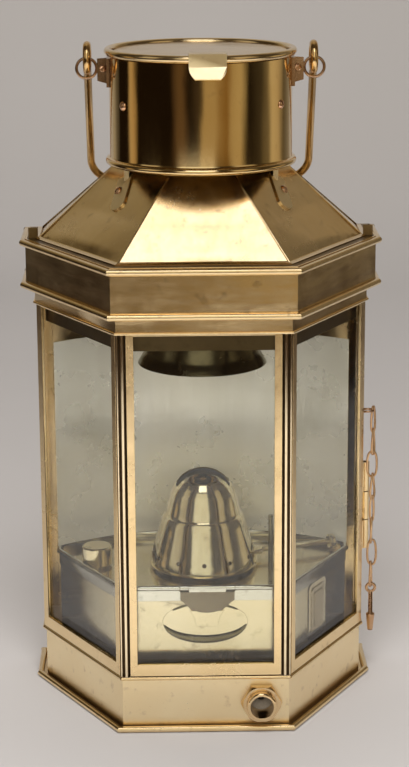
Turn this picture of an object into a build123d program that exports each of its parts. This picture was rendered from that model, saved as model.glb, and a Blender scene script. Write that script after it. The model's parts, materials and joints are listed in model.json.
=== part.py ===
from build123d import *
import math
import os

os.makedirs("parts", exist_ok=True)

# A brass ship's lantern with an oil lamp inside. Millimetres, +Z up, the front faces -Y.
# The origin lies under the chimney's axis, on the surface that the lantern stands on.
# In plan the case is the front half of a regular hexagon, with short straight sides and a flat back.

# ---- Driving dimensions -------------------------------------------------------------------
SIDE = 108.0            # length of each glazed facet, and half the width across the side corners
HALF_DEPTH = 65.8       # from the chimney's axis to the front and to the back of the base box
COS30 = math.cos(math.radians(30))
SIN30 = 0.5
CORNER_Y = COS30 * SIDE - HALF_DEPTH      # the side corners lie this far behind the axis

SHEET = 1.2
GLASS_T = 3.0
FRAME_T = 2.0

# Outlines are named by their corner half-width, so SIDE is the base box itself.
FLANGE_W = 112.6
FRAME_W = 109.4
FASCIA_W = 110.0
FASCIA_INNER_W = 109.44
BAND_W = 115.6
BAND_INNER_W = 114.4
BAND_BEAD_W = 117.0
EAVE_W = 106.4

# Heights
BOX_TOP = 37.5
OPENING_TOP = 263.5
BODY_TOP = 277.0
FASCIA_LOW = 265.5
SOFFIT_TOP = 278.2
BAND_LOW = 277.2
BAND_HIGH = 305.5
BAND_TOP = 308.2
LEDGE_LOW = 307.0
ROOF_TOP = 358.0
CHIMNEY_LOW = 362.3
CHIMNEY_HIGH = 430.6

# Rolled edges
FLANGE_BEAD_R = 2.1
BAND_BEAD_R = 2.3
LIP_R = 0.9

CHIMNEY_R = 58.1
CHIMNEY_INNER_R = 57.1
NECK_R = 29.4
NECK_INNER_R = 28.4

RUNNING = 0.3           # clear gap between pieces that move past each other
PIN_FIT = 0.05          # radial clearance of a pin in its knuckle
CUT = 1.0               # how far a cutting tool reaches past the face it cuts


# ---- General helpers ----------------------------------------------------------------------
def outline(w):
    """The six corners of the plan at corner half-width w, from the front left one, seen from above."""
    front = CORNER_Y - COS30 * w
    back = HALF_DEPTH + COS30 * (w - SIDE)
    return [(-w / 2, front), (w / 2, front), (w, CORNER_Y), (w, back), (-w, back), (-w, CORNER_Y)]


def prism(points, low, high):
    """A straight upright prism on a closed outline."""
    face = make_face(Polyline(*[(x, y, low) for x, y in points], close=True))
    return extrude(face, amount=high - low, dir=(0, 0, 1))


def block(x0, x1, y0, y1, z0, z1):
    """A rectangular block between two opposite corners."""
    centre = Pos((x0 + x1) / 2, (y0 + y1) / 2, (z0 + z1) / 2)
    return centre * Box(abs(x1 - x0), abs(y1 - y0), abs(z1 - z0))


def rod(start, end, radius):
    """A round rod between two points."""
    a = Vector(*start)
    along = Vector(*end) - a
    return Plane(origin=a, z_dir=along) * Cylinder(radius, along.length, align=(Align.CENTER, Align.CENTER, Align.MIN))


def tube(outer, inner, low, high, x=0.0, y=0.0):
    """An upright tube."""
    return rod((x, y, low), (x, y, high), outer) - rod((x, y, low - CUT), (x, y, high + CUT), inner)


def turned(points, x=0.0, y=0.0):
    """A turned piece from its half profile, given as (radius, height) points."""
    face = make_face(Polyline(*[(r, 0, z) for r, z in points], close=True))
    return Pos(x, y, 0) * revolve(face, axis=Axis.Z)


def hoop(centre, axis, major, minor):
    """A ring of round wire about an axis."""
    return Plane(origin=centre, z_dir=axis) * Torus(major, minor)


def swept(path, radius):
    """Round wire along a path."""
    start = path @ 0
    return sweep(Plane(origin=start, z_dir=path % 0) * Circle(radius), path=path)


def mirrored(shape):
    """The same piece on the other side of the centre plane."""
    return mirror(shape, about=Plane.YZ)


# ---- Helpers for the six sides of the plan ------------------------------------------------
# Sides: 0 front, 1 front right, 2 right, 3 back, 4 left, 5 front left.
FRONT, FRONT_RIGHT, RIGHT, BACK, LEFT, FRONT_LEFT = range(6)


def side_wedge(index, outer, inner, low, high):
    """The mitred stretch of the plan that belongs to one side, between two corner half-widths."""
    far = outline(outer)
    near = outline(inner)
    nxt = (index + 1) % len(far)
    return prism([near[index], near[nxt], far[nxt], far[index]], low, high)


def side_bead(index, width, height, radius):
    """The rolled edge along one side, mitred at both ends."""
    corners = outline(width)
    a = Vector(*corners[index], height)
    b = Vector(*corners[(index + 1) % len(corners)], height)
    reach = (b - a).normalized() * (4 * radius)
    bar = rod(tuple(a - reach), tuple(b + reach), radius)
    return bar & side_wedge(index, width + 3 * radius, width - 3 * radius, height - radius - CUT, height + radius + CUT)


def facet_plane(index, width):
    """A side's own plane: x along it, y up, z outwards, from the foot of its first corner."""
    corners = outline(width)
    a = Vector(*corners[index])
    b = Vector(*corners[(index + 1) % len(corners)])
    along = (b - a).normalized()
    return Plane(origin=(a.X, a.Y, 0), x_dir=along, z_dir=Vector(along.Y, -along.X))


def facet_prism(index, width, points, inner, outer):
    """A flat piece on a side, from (along, height) points, between two offsets from its plane."""
    face = make_face(Polyline(*[(x, z, inner) for x, z in points], close=True))
    return facet_plane(index, width) * extrude(face, amount=outer - inner, dir=(0, 0, 1))


def facet_block(index, width, x0, x1, low, high, inner, outer):
    """A rectangular block on a side."""
    return facet_plane(index, width) * block(x0, x1, low, high, inner, outer)


def mitred_bars(index, start, end, low, high, stile_a, stile_b, rail_low, rail_high):
    """The four bars of a frame on one side, mitred at the corners."""
    left, right = start + stile_a, end - stile_b
    bottom, top = low + rail_low, high - rail_high
    outlines = [
        [(start, low), (end, low), (right, bottom), (left, bottom)],
        [(end, low), (end, high), (right, top), (right, bottom)],
        [(end, high), (start, high), (left, top), (right, top)],
        [(start, high), (start, low), (left, bottom), (left, top)],
    ]
    limit = side_wedge(index, FRAME_W + 4, FRAME_W - 8, low - CUT, high + CUT)
    return [facet_prism(index, FRAME_W, points, -FRAME_T, 0) & limit for points in outlines]


parts = {}


def keep(name, solids):
    """Store one named piece, which may be several solids."""
    parts[name] = Compound(children=list(solids)) if isinstance(solids, (list, tuple)) else solids


# ---- Foot and base ------------------------------------------------------------------------
FLANGE_INNER_W = SIDE - 1.6
FLOOR_LOW = 36.3

GLAND_X = 36.0
GLAND_Z = 19.0
GLAND_STEM_R = 9.0
GLAND_BORE_R = 7.45
GLAND_NUT_R = 13.5
GLAND_BODY_LENGTH = 6.4
GLAND_COLLAR_LENGTH = 4.6
GLAND_COLLAR_R = 9.6


def gland_rod(y0, y1, radius):
    return rod((GLAND_X, y0, GLAND_Z), (GLAND_X, y1, GLAND_Z), radius)


def hexagon_nut(y0, y1, radius):
    """A hexagonal nut about the gland's axis."""
    plane = Plane(origin=(GLAND_X, y1, GLAND_Z), x_dir=(1, 0, 0), z_dir=(0, -1, 0))
    return plane * extrude(RegularPolygon(radius, 6), amount=y1 - y0)


def base_flange():
    """Six mitred strips: a flat flange that turns in under the box, with its outer edge rolled up."""
    strips = []
    for i in range(6):
        flat = side_wedge(i, FLANGE_W, FLANGE_INNER_W, 0, SHEET)
        strips.append(flat + side_bead(i, FLANGE_W, FLANGE_BEAD_R, FLANGE_BEAD_R))
    return strips


def base_box():
    """Six mitred walls, with the gland's hole in the front one."""
    walls = [side_wedge(i, SIDE, SIDE - SHEET, SHEET, BOX_TOP) for i in range(6)]
    walls[FRONT] -= gland_rod(-HALF_DEPTH - 5, -HALF_DEPTH + 5, GLAND_STEM_R)
    return walls


WALL_INNER = CORNER_Y - COS30 * (SIDE - SHEET)     # inner face of the front wall
GLAND_STEM_END = WALL_INNER + 9
GLAND_SEAT_Y = -62.0    # the cable's bore opens here into the seal's seat
GLAND_SEAL_R = 8.1
GLAND_SEAL_HOLE_R = 3.2


def gland_body():
    """A threaded stem through the wall, with a domed hexagon in front of it."""
    face = -HALF_DEPTH
    stem = gland_rod(face, GLAND_STEM_END, GLAND_STEM_R)
    head = hexagon_nut(face - GLAND_BODY_LENGTH, face, GLAND_NUT_R)
    dome = Pos(GLAND_X, face + 1.0, GLAND_Z) * Sphere(GLAND_NUT_R + 0.6)
    seat = gland_rod(GLAND_SEAT_Y, GLAND_STEM_END + CUT, GLAND_SEAL_R)
    return (head & dome) + stem - gland_rod(face - 20, GLAND_SEAT_Y, GLAND_BORE_R) - seat


def gland_nut():
    """The clamping collar in front of the body."""
    face = -HALF_DEPTH - GLAND_BODY_LENGTH
    end = face - GLAND_COLLAR_LENGTH
    collar = gland_rod(end, face, GLAND_COLLAR_R)
    return chamfer(collar.edges().group_by(Axis.Y)[0], 0.9) - gland_rod(end - CUT, face + CUT, GLAND_BORE_R)


def gland_locknut():
    nut = hexagon_nut(WALL_INNER, WALL_INNER + 3.2, GLAND_NUT_R - 0.8)
    return nut - gland_rod(WALL_INNER - CUT, WALL_INNER + 5, GLAND_STEM_R)


def gland_seal():
    """The soft ring behind the bore that a clamped cable would squeeze, with a conical mouth."""
    front = GLAND_SEAT_Y + 0.6
    plane = Plane(origin=(GLAND_X, front, GLAND_Z), z_dir=(0, 1, 0))
    depth = GLAND_STEM_END - front
    mouth = plane * Cone(GLAND_SEAL_R - 0.8, GLAND_SEAL_HOLE_R, depth, align=(Align.CENTER, Align.CENTER, Align.MIN))
    return gland_rod(front, GLAND_STEM_END, GLAND_SEAL_R) - mouth


keep("base_flange", base_flange())
keep("base_box", base_box())
keep("base_floor", prism(outline(SIDE - SHEET - 0.1), FLOOR_LOW, BOX_TOP))
keep("gland_body", gland_body())
keep("gland_nut", gland_nut())
keep("gland_locknut", gland_locknut())
keep("gland_seal", gland_seal())

# ---- Body frame, windows and walls --------------------------------------------------------
POST_FACE = 5.7         # a corner post covers this much of the front beside the corner
POST_RETURN = 2.0       # and this much of the facet round the corner
POST_BEAD_R = 2.15
POST_BEAD_AT = 3.5
POST_BEAD_TOP = 264.5   # the beads stop under the fascia's lip
POST_STRIP = 1.3
POST_WEB = 0.6
STILE = 5.0
SIDE_STILE = 6.8        # beside the side corners
BOTTOM_RAIL = 8.3
TOP_RAIL = BODY_TOP - OPENING_TOP

GLASS_TOP = 268.0
GLASS_LAP = 2.4         # how far a pane reaches behind its frame
GLASS_INNER = -FRAME_T - GLASS_T


def corner_post():
    """The front left corner: an angle strip, a half-round bead beside it, and the web between them."""
    low, high = BOX_TOP, BODY_TOP
    web = facet_block(FRONT, FRAME_W, 0, POST_FACE, low, high, -FRAME_T, -FRAME_T + POST_WEB)
    strip = facet_block(FRONT, FRAME_W, 0, POST_STRIP, low, high, -FRAME_T, 0)
    front = (web + strip) & side_wedge(FRONT, FRAME_W + 4, FRAME_W - 8, low, high)
    turned_strip = facet_block(FRONT_LEFT, FRAME_W, FRAME_W - POST_RETURN, FRAME_W, low, high, -FRAME_T, 0)
    side = turned_strip & side_wedge(FRONT_LEFT, FRAME_W + 4, FRAME_W - 8, low, high)
    plane = facet_plane(FRONT, FRAME_W)
    depth = -FRAME_T + POST_WEB
    bead = plane * rod((POST_BEAD_AT, low, depth), (POST_BEAD_AT, POST_BEAD_TOP, depth), POST_BEAD_R)
    bead &= facet_block(FRONT, FRAME_W, 0, POST_FACE, low, high, -FRAME_T, FRAME_T)
    return front + side + bead


def window_frame(index):
    if index == FRONT:
        return mitred_bars(index, POST_FACE, FRAME_W - POST_FACE, BOX_TOP, BODY_TOP, STILE, STILE, BOTTOM_RAIL, TOP_RAIL)
    return mitred_bars(index, POST_RETURN, FRAME_W, BOX_TOP, BODY_TOP, STILE, SIDE_STILE, BOTTOM_RAIL, TOP_RAIL)


def window_glass(index):
    start = POST_FACE if index == FRONT else POST_RETURN
    end = FRAME_W - POST_FACE if index == FRONT else FRAME_W
    far_stile = STILE if index == FRONT else SIDE_STILE
    first = start + STILE - GLASS_LAP
    last = end - far_stile + GLASS_LAP
    return facet_block(index, FRAME_W, first, last, BOX_TOP, GLASS_TOP, GLASS_INNER, -FRAME_T)


RETAINER_OUTER_W = FRAME_W - (FRAME_T + GLASS_T + 0.1) / COS30
RETAINER_LOW = 253.0


def glass_retainer():
    """Three flat strips inside the tops of the panes."""
    sides = (FRONT, FRONT_RIGHT, FRONT_LEFT)
    return [side_wedge(i, RETAINER_OUTER_W, RETAINER_OUTER_W - SHEET, RETAINER_LOW, BODY_TOP) for i in sides]


WALL_OUTER_X = 109.2
WALL_INNER_X = 107.6
BACK_FACE_Y = HALF_DEPTH + COS30 * (FRAME_W - SIDE)     # outer face of the back frame
BACK_STILE = 8.0
BACK_TOP_RAIL = 20.0
BACK_OPENING_TOP = BODY_TOP - BACK_TOP_RAIL


def side_wall():
    return block(WALL_INNER_X, WALL_OUTER_X, CORNER_Y, BACK_FACE_Y - FRAME_T, BOX_TOP, BODY_TOP)


def back_frame():
    start = FRAME_W - WALL_OUTER_X
    end = FRAME_W + WALL_OUTER_X
    return mitred_bars(BACK, start, end, BOX_TOP, BODY_TOP, BACK_STILE, BACK_STILE, BOTTOM_RAIL, BACK_TOP_RAIL)


left_post = corner_post()
keep("corner_posts", [left_post, mirrored(left_post)])
keep("window_frame_front", window_frame(FRONT))
right_frame = window_frame(FRONT_RIGHT)
keep("window_frames_side", right_frame + [mirrored(bar) for bar in right_frame])
keep("glass_front", window_glass(FRONT))
keep("glass_side", [window_glass(FRONT_RIGHT), mirrored(window_glass(FRONT_RIGHT))])
keep("glass_retainer", glass_retainer())
keep("side_walls", [side_wall(), mirrored(side_wall())])
keep("back_frame", back_frame())

# ---- Crown: fascia, band, ledge and roof --------------------------------------------------
LIP_W = 110.5
LEDGE_INNER_W = 104.6
SOFFIT_OUTER_W = 114.3
FACET_DROP = 1.5        # upright thickness of the roof's sheet

# Corners of the flat top of the roof, at ROOF_TOP
TOP_FRONT_Y = -30.8
TOP_SIDE_X = 54.6
TOP_APOTHEM = COS30 * TOP_SIDE_X
TOP_FRONT_X = (TOP_APOTHEM - SIN30 * (CORNER_Y - TOP_FRONT_Y)) / COS30
ROOF_TOP_OUTLINE = [
    (-TOP_FRONT_X, TOP_FRONT_Y),
    (TOP_FRONT_X, TOP_FRONT_Y),
    (TOP_SIDE_X, CORNER_Y),
    (TOP_SIDE_X, -TOP_FRONT_Y),
    (-TOP_SIDE_X, -TOP_FRONT_Y),
    (-TOP_SIDE_X, CORNER_Y),
]


def top_fascia():
    """Six mitred strips round the heads of the windows: a rolled lip, an upright and a flange for the band."""
    strips = []
    for i in range(6):
        flat = side_wedge(i, FASCIA_W, FASCIA_INNER_W, FASCIA_LOW, BODY_TOP)
        web = side_wedge(i, LIP_W, FASCIA_INNER_W, FASCIA_LOW, FASCIA_LOW + LIP_R)
        soffit = side_wedge(i, SOFFIT_OUTER_W, FASCIA_INNER_W, BODY_TOP, SOFFIT_TOP)
        strips.append(flat + web + soffit + side_bead(i, LIP_W, FASCIA_LOW, LIP_R))
    return strips


def cap_band():
    """Six mitred strips, rolled outwards at the top and the bottom."""
    strips = []
    for i in range(6):
        flat = side_wedge(i, BAND_W, BAND_INNER_W, BAND_LOW, BAND_TOP)
        low_bead = side_bead(i, BAND_BEAD_W, BAND_LOW, BAND_BEAD_R)
        high_bead = side_bead(i, BAND_BEAD_W, BAND_HIGH, BAND_BEAD_R)
        strips.append(flat + low_bead + high_bead)
    return strips


def hip_roof(drop):
    """The solid form of the roof between the ledge and its flat top, lowered by drop."""
    low = make_face(Polyline(*[(x, y, BAND_TOP - drop) for x, y in outline(EAVE_W)], close=True))
    high = make_face(Polyline(*[(x, y, ROOF_TOP - drop) for x, y in ROOF_TOP_OUTLINE], close=True))
    return loft([low, high], ruled=True)


def roof_facets():
    """Six plates of sheet, mitred along the hips."""
    shell = hip_roof(0) - hip_roof(FACET_DROP)
    low = outline(EAVE_W)
    high = ROOF_TOP_OUTLINE
    plates = []
    for i in range(6):
        nxt = (i + 1) % 6
        plates.append(shell & prism([high[i], high[nxt], low[nxt], low[i]], BAND_TOP, ROOF_TOP + CUT))
    return plates


def corner_tab(sign):
    """The turned-up end of a seam, standing on the ledge at a side corner."""
    x0, x1 = sorted((sign * 107.0, sign * 113.4))
    return block(x0, x1, CORNER_Y - 0.4, CORNER_Y + 0.4, BAND_TOP, BAND_TOP + 7.4)


def roof_top():
    return prism(ROOF_TOP_OUTLINE, ROOF_TOP - FACET_DROP, ROOF_TOP) - rod((0, 0, 300), (0, 0, 400), NECK_R)


keep("top_fascia", top_fascia())
keep("cap_band", cap_band())
ledge = [side_wedge(i, BAND_INNER_W, LEDGE_INNER_W, LEDGE_LOW, BAND_TOP) for i in range(6)]
keep("roof_ledge", ledge + [corner_tab(-1), corner_tab(1)])
keep("roof_top", roof_top())
keep("roof_neck", tube(NECK_R, NECK_INNER_R, 345, 385))

# ---- Smoke funnel -------------------------------------------------------------------------
FUNNEL_T = 1.0
FUNNEL_PROFILE = [(42.1, 231.0), (37.6, 238.6), (28.3, 290.0), (28.3, 357.0)]


def smoke_funnel():
    inner = [(r - FUNNEL_T, z) for r, z in reversed(FUNNEL_PROFILE)]
    return turned(FUNNEL_PROFILE + inner)


keep("smoke_funnel", smoke_funnel())

# ---- Chimney drum -------------------------------------------------------------------------
CHIMNEY_BEAD_R = 2.2
CHIMNEY_BEAD_MAJOR = 58.6
CHIMNEY_BEAD_Z = 364.5
DRUM_RIVETS = [(-49.6, -32.0, 402.0), (51.4, -32.0, 402.4)]
RIVET_R = 1.8
RIVET_HEAD_R = 3.0
RIVET_HEAD_H = 1.4


def drum_rivet_axis(point):
    """A rivet's outward direction on the drum."""
    return Vector(point[0], point[1], 0).normalized()


def drum_rivet(point):
    """A shank through the drum's wall with a domed head outside and a flat one inside."""
    out = drum_rivet_axis(point)
    height = Vector(0, 0, point[2])
    shank = rod(tuple(out * (CHIMNEY_INNER_R - 1) + height), tuple(out * (CHIMNEY_R + 0.4) + height), RIVET_R)
    plane = Plane(origin=out * CHIMNEY_R + height, z_dir=out)
    dome = plane * (Pos(0, 0, -1.6) * Sphere(3.4))
    head = dome - rod((0, 0, 300), (0, 0, 500), CHIMNEY_R)
    return shank + head


def chimney_shell():
    """The drum: a tube with its lower edge rolled outwards."""
    shell = tube(CHIMNEY_R, CHIMNEY_INNER_R, CHIMNEY_LOW, CHIMNEY_HIGH)
    bead = Pos(0, 0, CHIMNEY_BEAD_Z) * Torus(CHIMNEY_BEAD_MAJOR, CHIMNEY_BEAD_R)
    bead -= rod((0, 0, 350), (0, 0, 380), CHIMNEY_INNER_R + 0.3)
    drum = shell + bead
    for point in DRUM_RIVETS:
        out = drum_rivet_axis(point)
        height = Vector(0, 0, point[2])
        drum -= rod(tuple(out * 50 + height), tuple(out * 62 + height), RIVET_R)
    return drum


# Two straps stand on the front slopes and rise inside the drum. Given for the left one.
STRAP_T = 1.2
STRAP_HALF_W = 6.0
STRAP_TOP = (-47.8, 5.0)
STRAP_FOOT = (-52.6, -12.0)
STRAP_RIVET = (-52.4, -1.6)
LEG_X = 55.8


def roof_height(x, y):
    """Height of the front left slope's outer face above a point of the plan."""
    run_low = COS30 * EAVE_W
    slope = (ROOF_TOP - BAND_TOP) / (run_low - TOP_APOTHEM)
    apothem = COS30 * abs(x) + SIN30 * (CORNER_Y - y)
    return ROOF_TOP - slope * (apothem - TOP_APOTHEM)


def slope_plane(x, y):
    """A plane on the front left slope at a point of the plan, with its z axis outwards."""
    run_low = COS30 * EAVE_W
    rise = (ROOF_TOP - BAND_TOP) / (run_low - TOP_APOTHEM)
    normal = Vector(-COS30 * rise, -SIN30 * rise, 1).normalized()
    return Plane(origin=(x, y, roof_height(x, y)), x_dir=(SIN30, -COS30, 0), z_dir=normal)


def strap_rivet():
    plane = slope_plane(*STRAP_RIVET)
    shank = plane * rod((0, 0, -3), (0, 0, STRAP_T), RIVET_R)
    head = plane * ((Pos(0, 0, STRAP_T - 1.6) * Sphere(3.4)) & block(-5, 5, -5, 5, STRAP_T, STRAP_T + 4))
    return shank + head


def chimney_strap():
    """A round-ended tongue on the slope, and the leg from its upper end to the drum's wall."""
    top = Vector(*STRAP_TOP, roof_height(*STRAP_TOP))
    foot = Vector(*STRAP_FOOT, roof_height(*STRAP_FOOT))
    along = foot - top
    normal = slope_plane(*STRAP_TOP).z_dir
    plane = Plane(origin=top, x_dir=along, z_dir=normal)
    length = along.length
    tongue = plane * (block(0, length, -STRAP_HALF_W, STRAP_HALF_W, 0, STRAP_T) + rod((length, 0, 0), (length, 0, STRAP_T), STRAP_HALF_W))
    y0, y1 = STRAP_TOP[1] - STRAP_HALF_W + 1, STRAP_TOP[1] + STRAP_HALF_W - 1
    points = [(-47.0, 356.0), (-LEG_X, 371.0), (-LEG_X, 392.0)]
    back = [(x + STRAP_T, z + 0.4) for x, z in reversed(points)]
    face = make_face(Polyline(*[(x, y0, z) for x, z in points + back], close=True))
    leg = extrude(face, amount=y1 - y0, dir=(0, 1, 0))
    joint = block(-49.4, -46.2, y0, y1, 350.0, 357.4)
    above = Plane(origin=top, z_dir=normal) * block(-30, 30, -30, 30, 0, 30)
    strap = tongue + leg + (joint & above)
    return strap - slope_plane(*STRAP_RIVET) * rod((0, 0, -1), (0, 0, 5), RIVET_R)


def strap_hole():
    return slope_plane(*STRAP_RIVET) * rod((0, 0, -6), (0, 0, 5), RIVET_R)


keep("chimney_shell", chimney_shell())
keep("chimney_straps", [chimney_strap(), mirrored(chimney_strap())])
keep("dome_rivets", [drum_rivet(point) for point in DRUM_RIVETS] + [strap_rivet(), mirrored(strap_rivet())])
keep("roof_facets", [plate - strap_hole() - mirrored(strap_hole()) for plate in roof_facets()])

# ---- Handle lugs --------------------------------------------------------------------------
LUG_X = 72.0
LUG_Z = 422.3
LUG_RING_R = 6.35
LUG_WIRE_R = 0.95
LUG_T = 1.6
LUG_RIVET_X = 61.6


def handle_bracket():
    """A foot that hugs the drum and a broad plate that stands out from it."""
    drum = rod((0, 0, 300), (0, 0, 500), CHIMNEY_R)
    foot = block(50, CHIMNEY_R + 1.3, -8, 8, 411, 429.0) - drum
    points = [(57.0, 412.0), (65.3, 414.4), (65.3, 428.4), (57.0, 429.0)]
    face = make_face(Polyline(*[(x, -LUG_T / 2, z) for x, z in points], close=True))
    plate = extrude(face, amount=LUG_T, dir=(0, 1, 0)) - drum
    ring_space = hoop((LUG_X, 0, LUG_Z), (0, 1, 0), LUG_RING_R, LUG_WIRE_R)
    hole = rod((LUG_RIVET_X, -9, LUG_Z), (LUG_RIVET_X, 9, LUG_Z), RIVET_R)
    return foot + plate - ring_space - hole


def lug_rivet(sign):
    x = sign * LUG_RIVET_X
    shank = rod((x, -LUG_T / 2 - 0.9, LUG_Z), (x, LUG_T / 2 + 0.9, LUG_Z), RIVET_R)
    heads = rod((x, -LUG_T / 2 - 0.9, LUG_Z), (x, -LUG_T / 2, LUG_Z), 2.2)
    return shank + heads + rod((x, LUG_T / 2, LUG_Z), (x, LUG_T / 2 + 0.9, LUG_Z), 2.2)


lug_ring = hoop((LUG_X, 0, LUG_Z), (0, 1, 0), LUG_RING_R, LUG_WIRE_R)
keep("handle_brackets", [handle_bracket(), mirrored(handle_bracket())])
keep("handle_rings", [lug_ring, mirrored(lug_ring)])
keep("lug_rivets", [lug_rivet(-1), lug_rivet(1)])

# ---- Carrying bail ------------------------------------------------------------------------
BAIL_X = 71.5
BAIL_WIRE_R = 2.5
BAIL_EYE_R = 8.15
PIVOT_Z = 428.65
BAIL_REACH = 96.0       # from the pivot to the crosspiece's centre line
BAIL_BEND_R = 17.0
BAIL_LEAN = 28.0        # from straight down, resting on the roof's back slope


def bail():
    """One wire: an eye round each lug ring, two legs and a crosspiece."""
    lean = math.radians(BAIL_LEAN)
    down = Vector(0, math.sin(lean), -math.cos(lean))
    pivot = Vector(0, 0, PIVOT_Z)

    def at(x, reach):
        return Vector(x, 0, 0) + pivot + down * reach

    left_top, left_low = at(-BAIL_X, BAIL_EYE_R), at(-BAIL_X, BAIL_REACH - BAIL_BEND_R)
    right_top, right_low = at(BAIL_X, BAIL_EYE_R), at(BAIL_X, BAIL_REACH - BAIL_BEND_R)
    cross_left, cross_right = at(-BAIL_X + BAIL_BEND_R, BAIL_REACH), at(BAIL_X - BAIL_BEND_R, BAIL_REACH)
    bend = BAIL_BEND_R * math.sin(math.radians(45))
    left_mid = at(-BAIL_X + BAIL_BEND_R - bend, BAIL_REACH - BAIL_BEND_R + bend)
    right_mid = at(BAIL_X - BAIL_BEND_R + bend, BAIL_REACH - BAIL_BEND_R + bend)
    path = Wire([
        Line(left_top, left_low),
        ThreePointArc(left_low, left_mid, cross_left),
        Line(cross_left, cross_right),
        ThreePointArc(cross_right, right_mid, right_low),
        Line(right_low, right_top),
    ])
    wire = swept(path, BAIL_WIRE_R)
    eyes = [hoop((x, 0, PIVOT_Z), (1, 0, 0), BAIL_EYE_R, BAIL_WIRE_R) for x in (-BAIL_X, BAIL_X)]
    return wire + eyes[0] + eyes[1]


keep("bail", bail())

# ---- Lid ----------------------------------------------------------------------------------
LID_ROLL_MAJOR = 58.6
LID_ROLL_R = 2.4
LID_ROLL_Z = 433.2
LID_DISC_LOW = 431.5
LID_DISC_HIGH = 432.7
LID_DISC_R = 57.6
TAB_X0 = -8.2
TAB_X1 = 14.8
TAB_T = 1.1
LID_HINGE_Y = 64.2
LID_HINGE_Z = 431.1
KNUCKLE_R = 2.3
HINGE_PIN_R = 1.1
LEAF_HALF = 12.0
LID_KNUCKLE_HALF = 5.0


def lid_roll():
    return Pos(0, 0, LID_ROLL_Z) * Torus(LID_ROLL_MAJOR, LID_ROLL_R)


def lid_disc():
    """A flat disc with the rolled rim standing round it."""
    return rod((0, 0, LID_DISC_LOW), (0, 0, LID_DISC_HIGH), LID_DISC_R) - lid_roll()


def lid_thumb_tab():
    """A strip folded over the rim, ending in a half-round lip for the thumb."""
    top_z = LID_ROLL_Z + LID_ROLL_R
    face_y = -(LID_ROLL_MAJOR + LID_ROLL_R)
    over = block(TAB_X0, TAB_X1, face_y - TAB_T, -52, top_z, top_z + TAB_T)
    apron = block(TAB_X0, TAB_X1, face_y - TAB_T, face_y, 428.7, top_z + TAB_T)
    middle = (TAB_X0 + TAB_X1) / 2
    half = (TAB_X1 - TAB_X0) / 2
    lip_plane = Plane(origin=(middle, face_y - TAB_T / 2, 428.9), x_dir=(1, 0, 0), z_dir=(0, -0.86, 0.51))
    lip = lip_plane * (rod((0, 0, -TAB_T / 2), (0, 0, TAB_T / 2), half) & block(-half, half, -8.4, 0, -2, 2))
    return over + apron + lip


def lid_hinge_leaf():
    """The drum's half of the lid hinge: a foot on the wall, a web and two knuckles."""
    drum = rod((0, 0, 300), (0, 0, 500), CHIMNEY_R)
    foot_top = LID_HINGE_Z - 4.2
    web_top = LID_HINGE_Z - 1.8
    foot = block(-LEAF_HALF, LEAF_HALF, 50, 61.4, 412, foot_top) - drum
    web = block(-LEAF_HALF, LEAF_HALF, 60.0, 61.4, foot_top, web_top)
    solid = foot + web
    for x0, x1 in ((-LEAF_HALF, -LID_KNUCKLE_HALF - RUNNING), (LID_KNUCKLE_HALF + RUNNING, LEAF_HALF)):
        arm = block(x0, x1, 60.0, LID_HINGE_Y, foot_top - 1.0, web_top)
        solid += arm + rod((x0, LID_HINGE_Y, LID_HINGE_Z), (x1, LID_HINGE_Y, LID_HINGE_Z), KNUCKLE_R)
    solid -= rod((-LEAF_HALF - 1, LID_HINGE_Y, LID_HINGE_Z), (LEAF_HALF + 1, LID_HINGE_Y, LID_HINGE_Z), HINGE_PIN_R)
    middle = block(-LID_KNUCKLE_HALF - RUNNING, LID_KNUCKLE_HALF + RUNNING, 61.5, 70, foot_top - 2.0, 440)
    return solid - middle


def lid_knuckle():
    """The lid's knuckle, with a tongue that joins it to the rolled rim."""
    half = LID_KNUCKLE_HALF
    barrel = rod((-half, LID_HINGE_Y, LID_HINGE_Z), (half, LID_HINGE_Y, LID_HINGE_Z), KNUCKLE_R)
    tongue = block(-half, half, 58.0, LID_HINGE_Y, LID_HINGE_Z + 1.4, LID_HINGE_Z + 3.0)
    arm = block(-half, half, LID_HINGE_Y - 1.6, LID_HINGE_Y, LID_HINGE_Z, LID_HINGE_Z + 3.0)
    bore = rod((-half - 1, LID_HINGE_Y, LID_HINGE_Z), (half + 1, LID_HINGE_Y, LID_HINGE_Z), HINGE_PIN_R + PIN_FIT)
    return barrel + tongue + arm - bore - lid_roll() - rod((0, 0, 400), (0, 0, 450), LID_ROLL_MAJOR)


keep("lid_disc", lid_disc())
keep("lid_rim", lid_roll())
keep("lid_thumb_tab", lid_thumb_tab())
keep("lid_knuckle", lid_knuckle())
keep("lid_hinge_leaf", lid_hinge_leaf())
keep("lid_hinge_pin", rod((-LEAF_HALF, LID_HINGE_Y, LID_HINGE_Z), (LEAF_HALF, LID_HINGE_Y, LID_HINGE_Z), HINGE_PIN_R))

# ---- Back door ----------------------------------------------------------------------------
DOOR_IN = BACK_FACE_Y + RUNNING
DOOR_OUT = DOOR_IN + SHEET
DOOR_X = 103.5
DOOR_LOW = 41.5
DOOR_HIGH = 262.0
HINGE_X = -107.0
HINGE_Y = 71.0
HINGE_KNUCKLE_R = 2.6
HINGE_BANDS = [(70.0, 110.0), (195.0, 235.0)]
HINGE_SPLIT = 12.0      # length of each outer knuckle
PIN_R = 1.3


def in_each_band(make):
    return [make(low, high) for low, high in HINGE_BANDS]


def hinge_bore(radius):
    return rod((HINGE_X, HINGE_Y, 0), (HINGE_X, HINGE_Y, 300), radius)


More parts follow.
